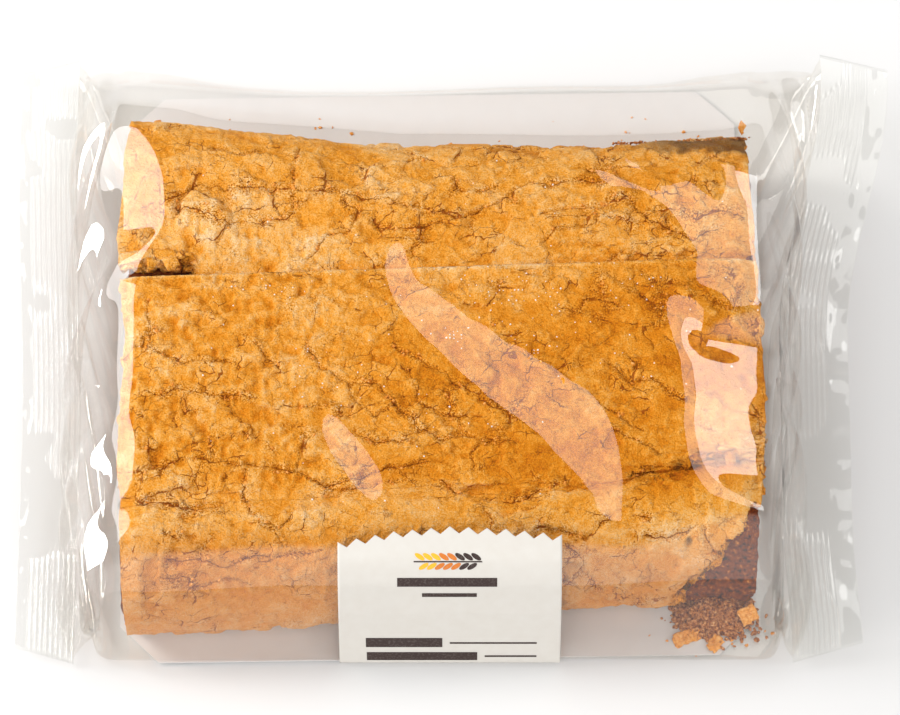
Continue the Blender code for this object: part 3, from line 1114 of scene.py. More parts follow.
    def build_crust(self, material: Material) -> None:
        """Builds the front fold as a roll and a top, which meet in the crease, and the back fold.

        Args:
            material: The crust's finish.
        """
        points, fields = self.fold(self.front_section, True)
        self.surfaces = [(points, fields)]
        fields["kept"] = 1.0 - self.torn(points, 0.0)
        crease = int(points.shape[1] * self.crease_share)
        self.add_sheet("crust_front_roll", points[:, : crease + 1], fields, slice(0, crease + 1), material)
        self.add_sheet("crust_top", points[:, crease:], fields, slice(crease, None), material)
        corner = (slice(int(points.shape[0] * self.corner_share), None), slice(crease + 1))
        inner = points[corner] - self.ply_gap * facing(points)[corner]
        inner_fields = {name: values[corner] for name, values in fields.items()}
        inner_fields["kept"] = 1.0 - self.torn(inner, self.tear_shift)
        plain = {"bake": 0.52, "matt_and_shade": 0.0, "gap": 9.0, "crumb": 0.5}
        inner_fields |= {name: np.full(inner.shape[:2], value) for name, value in plain.items()}
        self.add_sheet("crust_inner_ply", inner, inner_fields, slice(None), material)
        points, fields = self.fold(self.back_section, False)
        self.surfaces.append((points, fields))
        self.add_sheet("crust_back", points, fields, slice(None), material)

    def add_sheet(
        self, name: str, points: np.ndarray, fields: dict, rows: slice, material: Material
    ) -> None:
        """Makes one sheet of crust with its thickness, without what is torn away.

        Args:
            name: The piece's name.
            points: Its places, (columns, rows, 3).
            fields: Values on the whole fold.
            rows: The rows of the fold that are in this sheet.
            material: Its finish.
        """
        own = {field_name: values[:, rows] for field_name, values in fields.items()}
        mesh = grid_mesh(name, points, **own)
        if "kept" in own:
            drop_faces(mesh, "kept", 0.5)
        thicken(add_piece(name, mesh, material, POUCH_NODE), self.crust)

    def build_filling(self, material: Material) -> None:
        """Builds the filling as one lumpy loaf that runs from end to end.

        Args:
            material: The filling's finish.
        """
        work = bmesh.new()
        bmesh.ops.create_cube(work, size=2.0)
        bmesh.ops.subdivide_edges(work, edges=work.edges, cuts=63, use_grid_fill=True)
        mesh = new_mesh("apple_filling", work)
        unit = read_points(mesh)
        grain = Grain(53)
        side = unit[:, 1] * np.sqrt(1 - 0.30 * np.maximum(unit[:, 2], 0.0) ** 2)
        up = unit[:, 2] * np.sqrt(1 - 0.22 * unit[:, 1] ** 2)
        along = (unit[:, 0] + 1.0) / 2.0
        x = self.filling_x[0] + self.filling_x[1] * along * (1.6 - 0.6 * along)
        front = self.filling_y[0] + 5.8 * ease((x + 87.0) / 145.0)
        back = self.filling_y[1] + np.interp(x, *self.filling_wander)
        y = front + (back - front) * (side + 1.0) / 2.0
        y += 13.0 * ease((x - 48.0) / 12.0) * (up + 1.0) / 2.0 * ((1.0 - side) / 2.0) ** 3
        z = self.filling_z[0] + self.filling_z[1] * (up + 1.0) / 2.0
        lump = 0.9 * grain.layered(x / 5.0 + z / 9.0, y / 5.0 + z / 7.0, 4)
        lump += 1.0 * grain.layered(x / 2.3, y / 2.0 + z / 3.0, 2) * ease((x - 50.0) / 10.0)
        points = np.stack([x, y, z], axis=1)
        points += lump[:, None] * unit / np.maximum(np.linalg.norm(unit, axis=1, keepdims=True), 1e-6)
        place_points(mesh, points)
        add_piece("apple_filling", mesh, material, POUCH_NODE)


@dataclass
class Scatter:
    """Loose bits: pastry crumbs, sugar, flakes and crumbs of filling, one piece for each kind."""

    strudel: Strudel
    seed: int = 7
    lump_seeds: tuple = (31, 32, 33)
    sugar_spots: tuple = (
        (19.0, 4.5, 9.0, 3.0, 46), (28.0, -8.0, 6.0, 4.0, 14), (1.5, -9.0, 4.0, 3.0, 18),
        (-48.0, 4.5, 8.0, 3.0, 18), (50.0, 7.0, 6.0, 3.0, 10), (-40.0, -20.0, 10.0, 8.0, 16),
        (-5.0, -20.0, 40.0, 22.0, 60), (55.0, -15.0, 14.0, 10.0, 14), (10.0, 34.0, 40.0, 10.0, 14),
    )
    card_spots: tuple = (
        (-64.0, 75.0, 2.0, 1.5, 2), (-35.0, 73.0, 6.0, 4.0, 5), (48.0, 70.0, 17.0, 3.0, 16),
        (72.0, -83.0, 6.0, 2.5, 26), (60.0, -84.0, 6.0, 1.5, 8), (-84.0, 66.0, 2.0, 1.5, 8),
    )
    heap: tuple = ((71.0, -78.5, 5.0, 2.8, 420), (65.0, -78.0, 3.0, 2.0, 90), (78.0, -76.5, 2.2, 2.4, 130))
    mound: tuple = (70.6, -75.0, 13.0, 9.6, 3.6)
    flakes: tuple = (
        (63.0, -83.2, 2.2, 7.4, 3.6, 0.35, 0.10), (70.6, -85.0, 2.1, 4.6, 3.4, 0.9, 0.15),
        (79.5, -77.5, 4.2, 5.0, 4.6, 0.5, 0.5), (-85.0, 65.6, 15.0, 4.8, 3.6, 0.2, 0.7),
        (80.5, 61.0, 24.0, 3.2, 2.0, 1.2, 0.9),
    )
    on_card: float = 1.32
    seam_crumbs: int = 420
    rear_crumbs: int = 120
    # radii of each kind, least and most
    sugar_size: tuple = (0.16, 0.30)
    crumb_size: tuple = (0.22, 0.55)
    heap_size: tuple = (0.25, 0.85)
    rear_size: tuple = (0.25, 0.45)
    # the crust's rear top edge, where filling shows: its x, y and z at the left, and how far it runs
    rear_start: tuple = (44.0, 53.4, 29.0)
    rear_end_x: float = 82.0
    rear_drop: float = 6.0

    def build(self, crumb: Material, sugar: Material, spill: Material) -> None:
        """Builds sugar, crumbs, crumbs of filling, the mound of spilled filling, and flakes.

        Args:
            crumb: Finish of pastry crumbs and flakes.
            sugar: Finish of sugar.
            spill: Finish of spilled filling.
        """
        draws = np.random.default_rng(self.seed)
        sizes = draws.uniform(*self.sugar_size, 400)
        spots = self.on_crust(self.sugar_spots, draws)
        self.add_bits("sugar", spots, sizes[: len(spots)], (1.0, 1.0, 0.8), sugar, draws)
        loose = [self.in_channels(draws, self.seam_crumbs), self.on_level(self.card_spots, 1.35, draws)]
        spots = np.concatenate(loose)
        sizes = draws.uniform(*self.crumb_size, len(spots))
        self.add_bits("crumbs", spots, sizes, (1.2, 1.0, 0.7), crumb, draws)
        heap = self.on_level(self.heap, 1.6, draws)
        heap[:, 2] += self.mound_height(heap[:, 0], heap[:, 1]) * draws.uniform(0.6, 1.0, len(heap))
        start_x, start_y, start_z = self.rear_start
        along = draws.uniform(start_x, self.rear_end_x, self.rear_crumbs)
        down = draws.uniform(0.0, self.rear_drop, self.rear_crumbs)
        rear = np.stack([along, start_y + 0.045 * (along - 38.0) + 0.42 * down, start_z - down], axis=1)
        sizes = [
            draws.uniform(*self.heap_size, len(heap)), draws.uniform(*self.rear_size, self.rear_crumbs)
        ]
        spots = np.concatenate([heap, rear])
        self.add_bits("filling_crumbs", spots, np.concatenate(sizes), (1.2, 1.0, 0.8), spill, draws)
        self.build_mound(spill)
        self.build_flakes(crumb)

    def on_crust(self, spots: tuple, draws: np.random.Generator) -> np.ndarray:
        """Random places on the crust round some middles.

        Args:
            spots: Rows of x, y, spread in x, spread in y and count.
            draws: Source of random numbers.

        Returns:
            Array (places, 3).
        """
        found = []
        for x, y, spread_x, spread_y, count in spots:
            surface = self.strudel.surfaces[0 if y < 10.0 else 1][0][::2, ::2].reshape(-1, 3)
            surface = surface[surface[:, 2] > 28.0]
            for _ in range(count):
                at = (x + spread_x * draws.normal(), y + spread_y * draws.normal())
                found.append(surface[np.argmin(np.hypot(surface[:, 0] - at[0], surface[:, 1] - at[1]))])
        return np.array(found) + (0.0, 0.0, 0.08)

    def in_channels(self, draws: np.random.Generator, count: int) -> np.ndarray:
        """Random places in the crust's crumbly seams.

        Args:
            draws: Source of random numbers.
            count: Number of places.

        Returns:
            Array (places, 3).
        """
        places = np.concatenate(
            [points[fields["crumb"] > 0.45] for points, fields in self.strudel.surfaces]
        )
        places = places[(places[:, 2] > 12.0) & ((places[:, 0] < 60.0) | (places[:, 1] > -56.0))]
        return places[draws.integers(0, len(places), count)] + (0.0, 0.0, 0.12)

    def on_level(self, spots: tuple, z: float, draws: np.random.Generator) -> np.ndarray:
        """Random places at one height round some middles.

        Args:
            spots: Rows of x, y, spread in x, spread in y and count.
            z: The height.
            draws: Source of random numbers.

        Returns:
            Array (places, 3).
        """
        rows = [
            np.stack([x + sx * draws.normal(size=n), y + sy * draws.normal(size=n), np.full(n, z)], axis=1)
            for x, y, sx, sy, n in spots
        ]
        return np.concatenate(rows)

    def mound_height(self, x: np.ndarray, y: np.ndarray) -> np.ndarray:
        """Height of the spilled filling above the card.

        Args:
            x: Places along the card.
            y: Places across it.

        Returns:
            The heights, below 0 past the mound's edge.
        """
        middle_x, middle_y, reach_x, reach_y, top = self.mound
        grain = Grain(61)
        away = np.hypot((x - middle_x) / reach_x, (y - middle_y) / reach_y)
        away = away + 0.16 * grain.layered(x / 4.0, y / 4.0, 3)
        return top * (1.0 - ease(away)) * (1.0 + 0.4 * grain.layered(x / 2.2, y / 2.2, 2)) - 0.15

    def build_mound(self, material: Material) -> None:
        """Builds the finely crumbled filling that has run out on the card.

        Args:
            material: Its finish.
        """
        middle_x, middle_y, reach_x, reach_y, _ = self.mound
        side_x = np.linspace(middle_x - 1.1 * reach_x, middle_x + 1.1 * reach_x, 84)[:, None]
        side_y = np.linspace(middle_y - 1.1 * reach_y, middle_y + 1.1 * reach_y, 64)[None]
        x, y = np.broadcast_arrays(side_x, side_y)
        height = self.mound_height(x, y)
        rough = 0.45 * Grain(62).layered(x / 0.9, y / 0.9, 2) * ease(height / 0.8)
        points = np.stack([x, y, self.on_card + 0.02 + height + rough], axis=2)
        mesh = grid_mesh("spilled_filling", points, height=height)
        drop_faces(mesh, "height", 0.0)
        thicken(add_piece("spilled_filling", mesh, material, POUCH_NODE), 0.3)

    def add_bits(
        self, name: str, places: np.ndarray, sizes: np.ndarray, stretch: tuple,
        material: Material, draws: np.random.Generator,
    ) -> None:
        """Makes one piece of many irregular lumps.

        Args:
            name: The piece's name.
            places: Their middles, (lumps, 3).
            sizes: Their radii.
            stretch: How the radius grows along each of a lump's own axes.
            material: Their finish.
            draws: Source of random numbers.
        """
        work = bmesh.new()
        for place, size in zip(places, sizes):
            turn = Matrix.Rotation(draws.uniform(0.0, 6.28), 4, Vector(draws.normal(size=3)).normalized())
            scale = Matrix.Diagonal((*(size * MM * np.array(stretch) * draws.uniform(0.7, 1.3, 3)), 1.0))
            at = Matrix.Translation(Vector(place) * MM)
            bmesh.ops.create_icosphere(work, subdivisions=1, radius=1.0, matrix=at @ turn @ scale)
        mesh = new_mesh(name, work)
        points = read_points(mesh) / MM
        reach = float(sizes.mean())
        u, v = points[:, 0] / reach + points[:, 2], points[:, 1] / reach
        points += 0.35 * reach * np.stack([Grain(seed).value(u, v) for seed in self.lump_seeds], axis=1)
        points[:, 2] = np.maximum(points[:, 2], self.on_card)
        place_points(mesh, points)
        add_piece(name, mesh, material, POUCH_NODE)

    def build_flakes(self, material: Material) -> None:
        """Builds the few larger flakes of crust that lie on the card.

        Args:
            material: Their finish.
        """
        work = bmesh.new()
        for x, y, z, long, wide, turn, tilt in self.flakes:
            at = Matrix.Translation(Vector((x, y, z)) * MM) @ Matrix.Rotation(turn, 4, "Z")
            at = at @ Matrix.Rotation(tilt, 4, "X") @ Matrix.Diagonal((long * MM, wide * MM, 1.0, 1.0))
            made = bmesh.ops.create_grid(work, x_segments=14, y_segments=9, size=0.5, matrix=at)
            grain = Grain(int(long * 10))
            for vert in made["verts"]:
                px, py = vert.co.x / MM, vert.co.y / MM
                own = (px - x) ** 2 / long + (py - y) ** 2 / wide
                vert.co.z += MM * (0.5 * float(grain.value(np.array(px), np.array(py))) - 0.12 * own)
                vert.co.x += 0.35 * MM * float(grain.value(np.array(py * 1.3), np.array(px)))
                vert.co.y += 0.35 * MM * float(grain.value(np.array(px * 1.3 + 9.0), np.array(py)))
        mesh = new_mesh("flakes", work)
        thicken(add_piece("flakes", mesh, material, POUCH_NODE), 0.45)


@dataclass
class Card:
    """The white board that the strudel lies on, with its corners cut off."""

    length: float = 173.0
    depth: float = 172.6
    thick: float = 0.5
    chamfer: float = 15.0
    centre: tuple = (-5.6, -2.9)
    under_z: float = 0.8
    turn: float = 0.9

    def build(self, material: Material) -> None:
        """Makes the board of a square: cuts off its corners and gives it its thickness.

        Args:
            material: The board's finish.
        """
        work = bmesh.new()
        bmesh.ops.create_grid(work, x_segments=1, y_segments=1, size=0.5)
        bmesh.ops.scale(work, vec=(self.length * MM, self.depth * MM, 1.0), verts=work.verts)
        bmesh.ops.bevel(
            work, geom=work.verts[:], offset=self.chamfer * MM, offset_type="WIDTH", segments=1,
            profile=0.5, affect="VERTICES", material=-1,
        )
        raised = bmesh.ops.extrude_face_region(work, geom=work.faces[:])
        tops = [part for part in raised["geom"] if isinstance(part, bmesh.types.BMVert)]
        bmesh.ops.translate(work, vec=(0.0, 0.0, self.thick * MM), verts=tops)
        bmesh.ops.recalc_face_normals(work, faces=work.faces)
        bmesh.ops.rotate(work, matrix=Matrix.Rotation(math.radians(self.turn), 3, "Z"), verts=work.verts)
        place = (self.centre[0] * MM, self.centre[1] * MM, self.under_z * MM)
        bmesh.ops.translate(work, vec=place, verts=work.verts)
        mesh = new_mesh("card", work)
        add_piece("card", mesh, material, POUCH_NODE)
        mesh.shade_flat()


@dataclass(frozen=True)
class SealLine:
    """One crimped end seal: where its inner edge runs and how high it stands."""

    side: int
    front_x: float
    lean: float
    lean_from: float
    lean_run: float
    back_z: float
    fringe: float
    front_lean: float = 0.0
    front_z: float = 2.6
    half_width: float = 91.0
    taper: float = 0.26

    def inner_x(self, y: np.ndarray) -> np.ndarray:
        """X of the crimp's inner edge at each y."""
        lean = self.lean * ease((y - self.lean_from) / self.lean_run)
        return self.front_x + self.side * (lean + self.front_lean * ease((-55.0 - y) / 30.0))

    def height(self, y: np.ndarray) -> np.ndarray:
        """Height of the seal's middle plane at each y."""
        low = self.front_z + (self.back_z - self.front_z) * ease((y + 90.0) / 105.0)
        return low + 0.7 * np.sin(y / 13.5 + self.side)

    def point(self, share: np.ndarray, reach: np.ndarray) -> np.ndarray:
        """Places on the seal's middle plane.

        Args:
            share: Shares of its width, from the front.
            reach: Distances out from the crimp's inner edge.

        Returns:
            Array with a last axis of x, y and z.
        """
        half = self.half_width - self.taper * reach
        y = half * (2.0 * share - 1.0)
        x = self.inner_x(y) + self.side * reach
        z = self.height(y) + 0.10 * reach * ease((-60.0 - y) / 30.0)
        return np.stack(np.broadcast_arrays(x, y, z), axis=-1)


LEFT_SEAL = SealLine(-1, -103.2, 3.8, -30.0, 100.0, 8.5, 3.0)
RIGHT_SEAL = SealLine(1, 89.8, 14.2, 2.0, 82.0, 11.0, 6.0, 1.5)


@dataclass(frozen=True)
class Flank:
    """One tilted strip of film: its middle (x, y) and half width from the back, and its slope."""

    route: tuple
    slope: float
    back_to_level: float = 34.0

    def height(self, x: np.ndarray, y: np.ndarray) -> np.ndarray:
        """Rise and fall that the strip gives the film at each place.

        Args:
            x: Places along the pouch.
            y: Places across it.

        Returns:
            Heights in millimetres.
        """
        route_x, route_y, widths = np.array(self.route).T
        middle = np.interp(-y, -route_y, route_x)
        width = np.maximum(np.interp(-y, -route_y, widths, left=0.0, right=0.0), 0.01)
        away = x - middle
        beyond = 1.0 - ease((np.abs(away) - width) / self.back_to_level)
        return -self.slope * np.where(np.abs(away) < width, away, np.sign(away) * width * beyond)


class FilmNet:
    """The slack film as a net whose links keep their length while it finds its folds.

    Over the strudel each point stays close to where it was laid out, and the two ends are loose.
    """

    UNDER = 0.12
    OVER = 0.14
    LOOSE_AFTER = 0.41
    ROOM = 14.0
    FOLD = 0.7
    FOLD_LINKS = 3.2
    LABEL_X = LABEL_MIDDLE
    LABEL_REACH = 33.0
    WALLS = (-94.4, 86.0)
    WALL_TOP = 32.0
    FLOOR = 0.4
    PLY_GAP = 0.5

    def __init__(
        self, points: np.ndarray, stations: np.ndarray, out: np.ndarray, slack: float, under_z: float,
        end_rings: int,
    ) -> None:
        """Measures the links, and sets which points are held and how far the others may move.

        Args:
            points: The laid out film, (rings, around, 3).
            stations: Each ring's station.
            out: Each ring's share out into an end.
            slack: How much longer the film is in the ends than the way across them.
            under_z: Height of the film under the card.
            end_rings: Rings in each end.
        """
        self.points, self.stations, self.out = points, stations[:, None], out
        self.start = points.copy()
        count, self.around = points.shape[:2]
        self.measure(slack, end_rings)
        normal = facing(np.concatenate([points, points[:, :1]], axis=1))[:, : self.around]
        self.outward = np.sign(np.sum(normal * (points - (0.0, 0.0, 15.0)), axis=2).mean())
        self.laid_normal = normal * self.outward
        held = (out == 0.0)[:, None] & (self.start[..., 2] <= under_z + 0.3)
        held[[0, -1]] = True
        self.free = (~held).astype(float)[..., None]
        row, column = np.meshgrid(np.arange(count), np.arange(self.around), indexing="ij")
        fold = self.FOLD * Grain(83).layered(row / self.FOLD_LINKS, column / self.FOLD_LINKS, 2)
        fold = fold * ease(out * 3.0)[:, None]
        self.points = points + self.laid_normal * fold[..., None] * self.free
        loose = ease((out * 31.0 + 6.0) / 14.0)[:, None] * np.ones((1, self.around))
        room = self.ROOM * (loose - self.LOOSE_AFTER).clip(0.0)
        near_label = np.abs(self.start[..., 0] - self.LABEL_X) < self.LABEL_REACH
        under_label = near_label & (self.start[..., 1] < -62.0)
        self.low = np.where(under_label, -self.UNDER, -(self.UNDER + room))
        self.high = np.where(under_label, self.UNDER, self.OVER + room)

    def measure(self, slack: float, end_rings: int) -> None:
        """Sets the links' lengths at rest: along the pouch, round it, and on the diagonals.

        Args:
            slack: How much longer the film is in the ends than the way across them.
            end_rings: Rings in each end.
        """
        step = np.linalg.norm(np.diff(self.points, axis=0), axis=2)
        in_end = (self.out[1:] + self.out[:-1])[:, None] > 0
        full = np.where(self.stations[:-1] < 0, step[:end_rings].max(), step[-end_rings:].max())
        self.rest_u = np.where(in_end, np.minimum(full, step * slack), step)
        rest_v = np.linalg.norm(np.roll(self.points, -1, axis=1) - self.points, axis=2)
        self.rest_v = rest_v * (1.0 + 0.025 * ease(self.out[:, None] * 2.0))
        self.rest_d = np.hypot(self.rest_u, (self.rest_v[1:] + self.rest_v[:-1]) / 2)

    def pull(self, a: tuple, b: tuple, rest: np.ndarray, stiff: float, press: float) -> None:
        """Moves the two ends of some links towards their length at rest.

        Args:
            a: Indices of their first ends.
            b: Indices of their second ends.
            rest: Their lengths at rest.
            stiff: Share of the error that a stretched link mends.
            press: Share that a pressed link mends.
        """
        gap = self.points[b] - self.points[a]
        span = np.linalg.norm(gap, axis=2)
        weight = self.free[a][..., 0] + self.free[b][..., 0]
        over = span - rest
        amount = np.where(over > 0, stiff, press) * over / np.maximum(span * weight, 1e-6)
        move = gap * amount[..., None]
        self.points[a] += move * self.free[a]
        self.points[b] -= move * self.free[b]

    def pull_links(self) -> None:
        """Pulls every link once, in two turns of links that share no point."""
        every = slice(None)
        count = len(self.points)
        lines = np.arange(self.around)
        following = (lines + 1) % self.around
        for first in (0, 1):
            one, next_one = slice(first, count - 1, 2), slice(first + 1, count, 2)
            self.pull((one, every), (next_one, every), self.rest_u[first::2], 1.0, 0.8)
            pick = lines[first::2]
            self.pull((every, pick), (every, following[pick]), self.rest_v[:, pick], 1.0, 0.8)
            rows = np.arange(first, count - 1, 2)[:, None]
            for a, b in ((lines, following), (following, lines)):
                self.pull((rows, a[None]), (rows + 1, b[None]), self.rest_d[first::2], 0.6, 0.4)

    @staticmethod
    def sag(values: np.ndarray) -> np.ndarray:
        """How far each point lies from the middle of its neighbours.

        Args:
            values: The points, or what this returned for them.

        Returns:
            Array of the same shape.
        """
        away = (np.roll(values, 1, axis=1) + np.roll(values, -1, axis=1)) / 2 - values
        away[1:-1] += (values[2:] + values[:-2]) / 2 - values[1:-1]
        return away

    def keep_clear(self) -> None:
        """Keeps the film near its place, out of the strudel's ends, and its two plies apart."""
        shift = np.sum((self.points - self.start) * self.laid_normal, axis=2)
        back = np.clip(shift, self.low, self.high) - shift
        self.points += self.laid_normal * back[..., None] * self.free
        x, z = self.points[..., 0], self.points[..., 2]
        in_end = self.out[:, None] > 0
        left, right = self.WALLS
        x[in_end & (self.stations < 0) & (x > left) & (z < self.WALL_TOP)] = left
        x[in_end & (self.stations > 1) & (x < right) & (z < self.WALL_TOP)] = right
        np.maximum(z, self.FLOOR, out=z)
        half = self.around // 2
        across = np.arange(1, half // 2)
        for top, under in ((half - across, across), (half + across, self.around - across)):
            lift = np.clip((z[:, under] + self.PLY_GAP - z[:, top]) * in_end, 0.0, None) / 2
            z[:, top] += lift * self.free[:, top, 0]
            z[:, under] -= lift * self.free[:, under, 0]

    def settle(self, rounds: int) -> None:
        """Lets the film find its folds.

        Args:
            rounds: Number of steps.
        """
        puff = (0.012 * ease(self.out * 2.5))[:, None, None]
        softness = 0.10 - 0.07 * self.out[:, None, None]
        for turn in range(rounds):
            if turn % 5 == 0:
                wrapped = np.concatenate([self.points[:, -1:], self.points, self.points[:, :1]], axis=1)
                normal = facing(wrapped)[:, 1:-1] * self.outward
            self.points += normal * puff * self.free
            self.pull_links()
            if turn % 2 == 0:
                self.points -= softness * self.sag(self.sag(self.points)) * self.free
            self.keep_clear()
        LOG.info("film settled: %d by %d points", len(self.points), self.around)


@dataclass
class Pouch:
    """The film, drawn over the strudel and let go slack towards its two seals."""

    pitch: float = 2.4
    around: int = 160
    end_rings: int = 13
    rounds: int = 700
    slack: float = 1.12
    end_x: tuple = (-93.0, 84.6)
    card_x: tuple = (-94.6, 85.2)
    under_z: float = 0.62
    front_edge: float = -90.3
    back_edge: float = 87.2
    edge_z: float = 1.6
    corner_lift: tuple = (2.6, 4.2)
    left_front: tuple = (
        (-90.3, 1.6), (-88.9, 8.0), (-87.6, 14.0), (-85.9, 22.0), (-81.0, 31.4), (-75.5, 38.0),
        (-67.0, 46.0),
    )
    right_front: tuple = (
        (-90.3, 1.6), (-87.6, 8.0), (-85.2, 14.0), (-82.2, 22.0), (-78.2, 31.4), (-73.0, 38.0),
        (-65.0, 46.0),
    )
    back_shoulder: tuple = (59.0, 30.4)
    shoulder_wander: tuple = ((-91.0, -16.0, 40.0, 80.0), (6.5, 0.0, -0.6, 2.4))
    shoulder_lift: float = 2.5
    shoulder_slope: float = 0.75
    front_blend: float = 4.0
    back_blend: float = 3.0
    back_bow: float = 2.2
    roof_z: float = 37.5
    # swells across the roof, and a hollow along the seam: height, middle and reach
    swells: tuple = ((1.6, -28.0, 36.0), (0.6, 34.0, 15.0), (-0.35, 11.5, 5.0))
    # where the roof rises towards an end: height, first x and run, front and back y, and softness
    ramps: tuple = ((2.8, 45.0, 17.0, -74.0, 54.0, 16.0), (1.2, -55.0, -25.0, 4.0, 62.0, 10.0))
    bend_slopes: tuple = (0.28, 0.26)
    plies_apart: float = 0.06
    crimp: float = 13.0
    ridges: int = 9
    flanks: tuple = (
        Flank(
            (
                (-13.4, 26.0, 0.4), (-16.5, 15.0, 3.0), (-15.0, 7.0, 4.0), (-10.5, 0.6, 7.5),
                (-2.5, -7.0, 9.6), (6.0, -14.4, 11.0), (14.5, -22.0, 13.6), (23.0, -29.2, 13.6),
                (32.0, -36.6, 9.4), (37.5, -44.0, 6.6), (40.0, -51.3, 5.4), (41.5, -58.5, 3.6),
                (42.4, -66.0, 1.8), (42.6, -73.0, 0.2),
            ),
            0.13,
        ),
        Flank(((57.0, 5.0, 0.3), (59.0, 1.0, 2.2), (62.1, -6.4, 5.2), (63.0, -15.0, 3.0)), 0.26, 16.0),
        Flank(
            (
                (-37.5, -26.0, 0.6), (-33.5, -37.0, 5.0), (-28.7, -45.0, 6.6), (-23.5, -52.0, 5.6),
                (-19.0, -62.0, 0.8),
            ),
            0.13, 22.0,
        ),
        Flank(
            (
                (43.0, 47.0, 0.6), (47.0, 41.0, 8.0), (54.0, 35.0, 10.5), (62.0, 28.0, 7.0),
                (69.0, 21.0, 4.0), (76.0, 13.0, 0.6),
            ),
            0.17, 24.0,
        ),
        Flank(((-67.0, 35.0, 0.4), (-64.5, 32.0, 2.0), (-61.5, 28.0, 1.8), (-59.5, 26.0, 0.3)), 0.14, 8.0),
    )
    left_bend: tuple = (
        (-80.0, -60.0, -30.0, 4.0, 12.0, 20.0, 26.0, 34.0, 42.0, 50.0, 58.0),
        (-84.5, -85.5, -87.0, -87.0, -86.0, -81.0, -78.0, -78.5, -79.5, -83.0, -88.0),
    )
    right_bend: tuple = (
        (-80.0, -60.0, -56.0, -51.0, -44.0, -30.0, -18.0, -10.0, -2.0, 4.0, 12.0, 24.0, 34.0, 44.0),
        (80.0, 80.0, 72.0, 65.5, 62.5, 62.0, 61.5, 62.5, 80.0, 83.0, 82.0, 78.0, 75.0, 76.0),
    )

    def roof(self, x: np.ndarray, y: np.ndarray) -> np.ndarray:
        """Height of the taut film over the strudel's top.

        Args:
            x: Places along the pouch.
            y: Places across it.

        Returns:
            The heights.
        """
        height = self.roof_z
        for lift, middle, reach in self.swells:
            height += lift * bell((y - middle) / reach)
        for flank in self.flanks:
            height += flank.height(x, y)
        left_slope, right_slope = self.bend_slopes
        height -= left_slope * np.maximum(np.interp(y, *self.left_bend) - x, 0.0)
        height -= right_slope * np.maximum(x - np.interp(y, *self.right_bend), 0.0)
        for lift, from_x, run, front, back, soft in self.ramps:
            raised = ease((back - y) / soft) * ease((y - front) / soft)
            height += lift * np.clip((x - from_x) / run, 0.0, 1.0) * raised
        return height - 0.45 * bell((y + 35.5) / 1.8) * ease((x - 61.0) / 3.0)

    def upper_line(self, x: float, share: np.ndarray) -> np.ndarray:
        """Section (y, z) of the upper film at x, by share of its width.

        Args:
            x: Place along the pouch.
            share: Shares of its width, from the front.

        Returns:
            Array (shares, 2).
        """
        past = float(ease((-58.0 - x) / 38.0) + ease((x - 50.0) / 38.0))
        bow = self.back_bow * math.cos(math.pi * (x + 35.0) / 150.0) ** 2
        bow = bow * float(ease((60.0 - abs(x + 20.0)) / 40.0))
        back = self.back_edge - bow + self.corner_lift[0] * past
        back_z = self.edge_z + self.corner_lift[1] * past
        y = self.front_edge + (back - self.front_edge) * share
        right = 0.5 * float(ease((x + 85.0) / 45.0) + ease((x - 33.0) / 45.0))
        left_y, front_z = np.array(self.left_front).T
        front_y = left_y * (1 - right) + np.array(self.right_front)[:, 0] * right
        front = np.interp(y, front_y, front_z)
        by, bz = self.back_shoulder
        bz += self.shoulder_lift * float(ease((-60.0 - x) / 20.0))
        by += float(np.interp(x, *self.shoulder_wander))
        rear = np.where(
            y > by, back_z + (bz - back_z) * (back - y) / (back - by), bz + self.shoulder_slope * (by - y)
        )
        upper = soft_least(self.roof(x, y), front, self.front_blend)
        return np.stack([y, soft_least(upper, rear, self.back_blend)], axis=1)

    def ring(self, station: float) -> np.ndarray:
        """One closed ring of film, before it is let go.

        Args:
            station: -1 to 0 in the left end, 0 to 1 over the strudel, 1 to 2 in the right.

        Returns:
            Dense points (points, 3), from the bottom's middle round by the front.
        """
        share = np.linspace(0.0, 1.0, 241)
        out = max(-station, station - 1.0, 0.0)
        side = 0 if station < 0.5 else 1
        along = min(max(station, 0.0), 1.0)
        top_x = self.end_x[0] + (self.end_x[1] - self.end_x[0]) * along
        base_x = self.card_x[0] + (self.card_x[1] - self.card_x[0]) * along
        top = np.column_stack([np.full(len(share), top_x), self.upper_line(top_x, share)])
        base = np.column_stack(
            [np.full(len(share), base_x), top[:, 1] * 0.985, np.full(len(share), self.under_z)]
        )
        if out > 0.0:
            seal = (LEFT_SEAL, RIGHT_SEAL)[side]
            spread = np.interp(top[:, 1], (-91.0, -75.7, 56.0, 88.0), (0.0, 0.012, 0.988, 1.0))
            sealed = seal.point(spread, np.zeros(len(share)))
            top = top + (sealed + (0.0, 0.0, self.plies_apart) - top) * out
            base[:, :2] += (sealed - base)[:, :2] * out
            base[:, 2] += (sealed[:, 2] - self.plies_apart - base[:, 2]) * out**1.4
        half = len(share) // 2
        return np.concatenate([base[half::-1], top, base[:half:-1]])

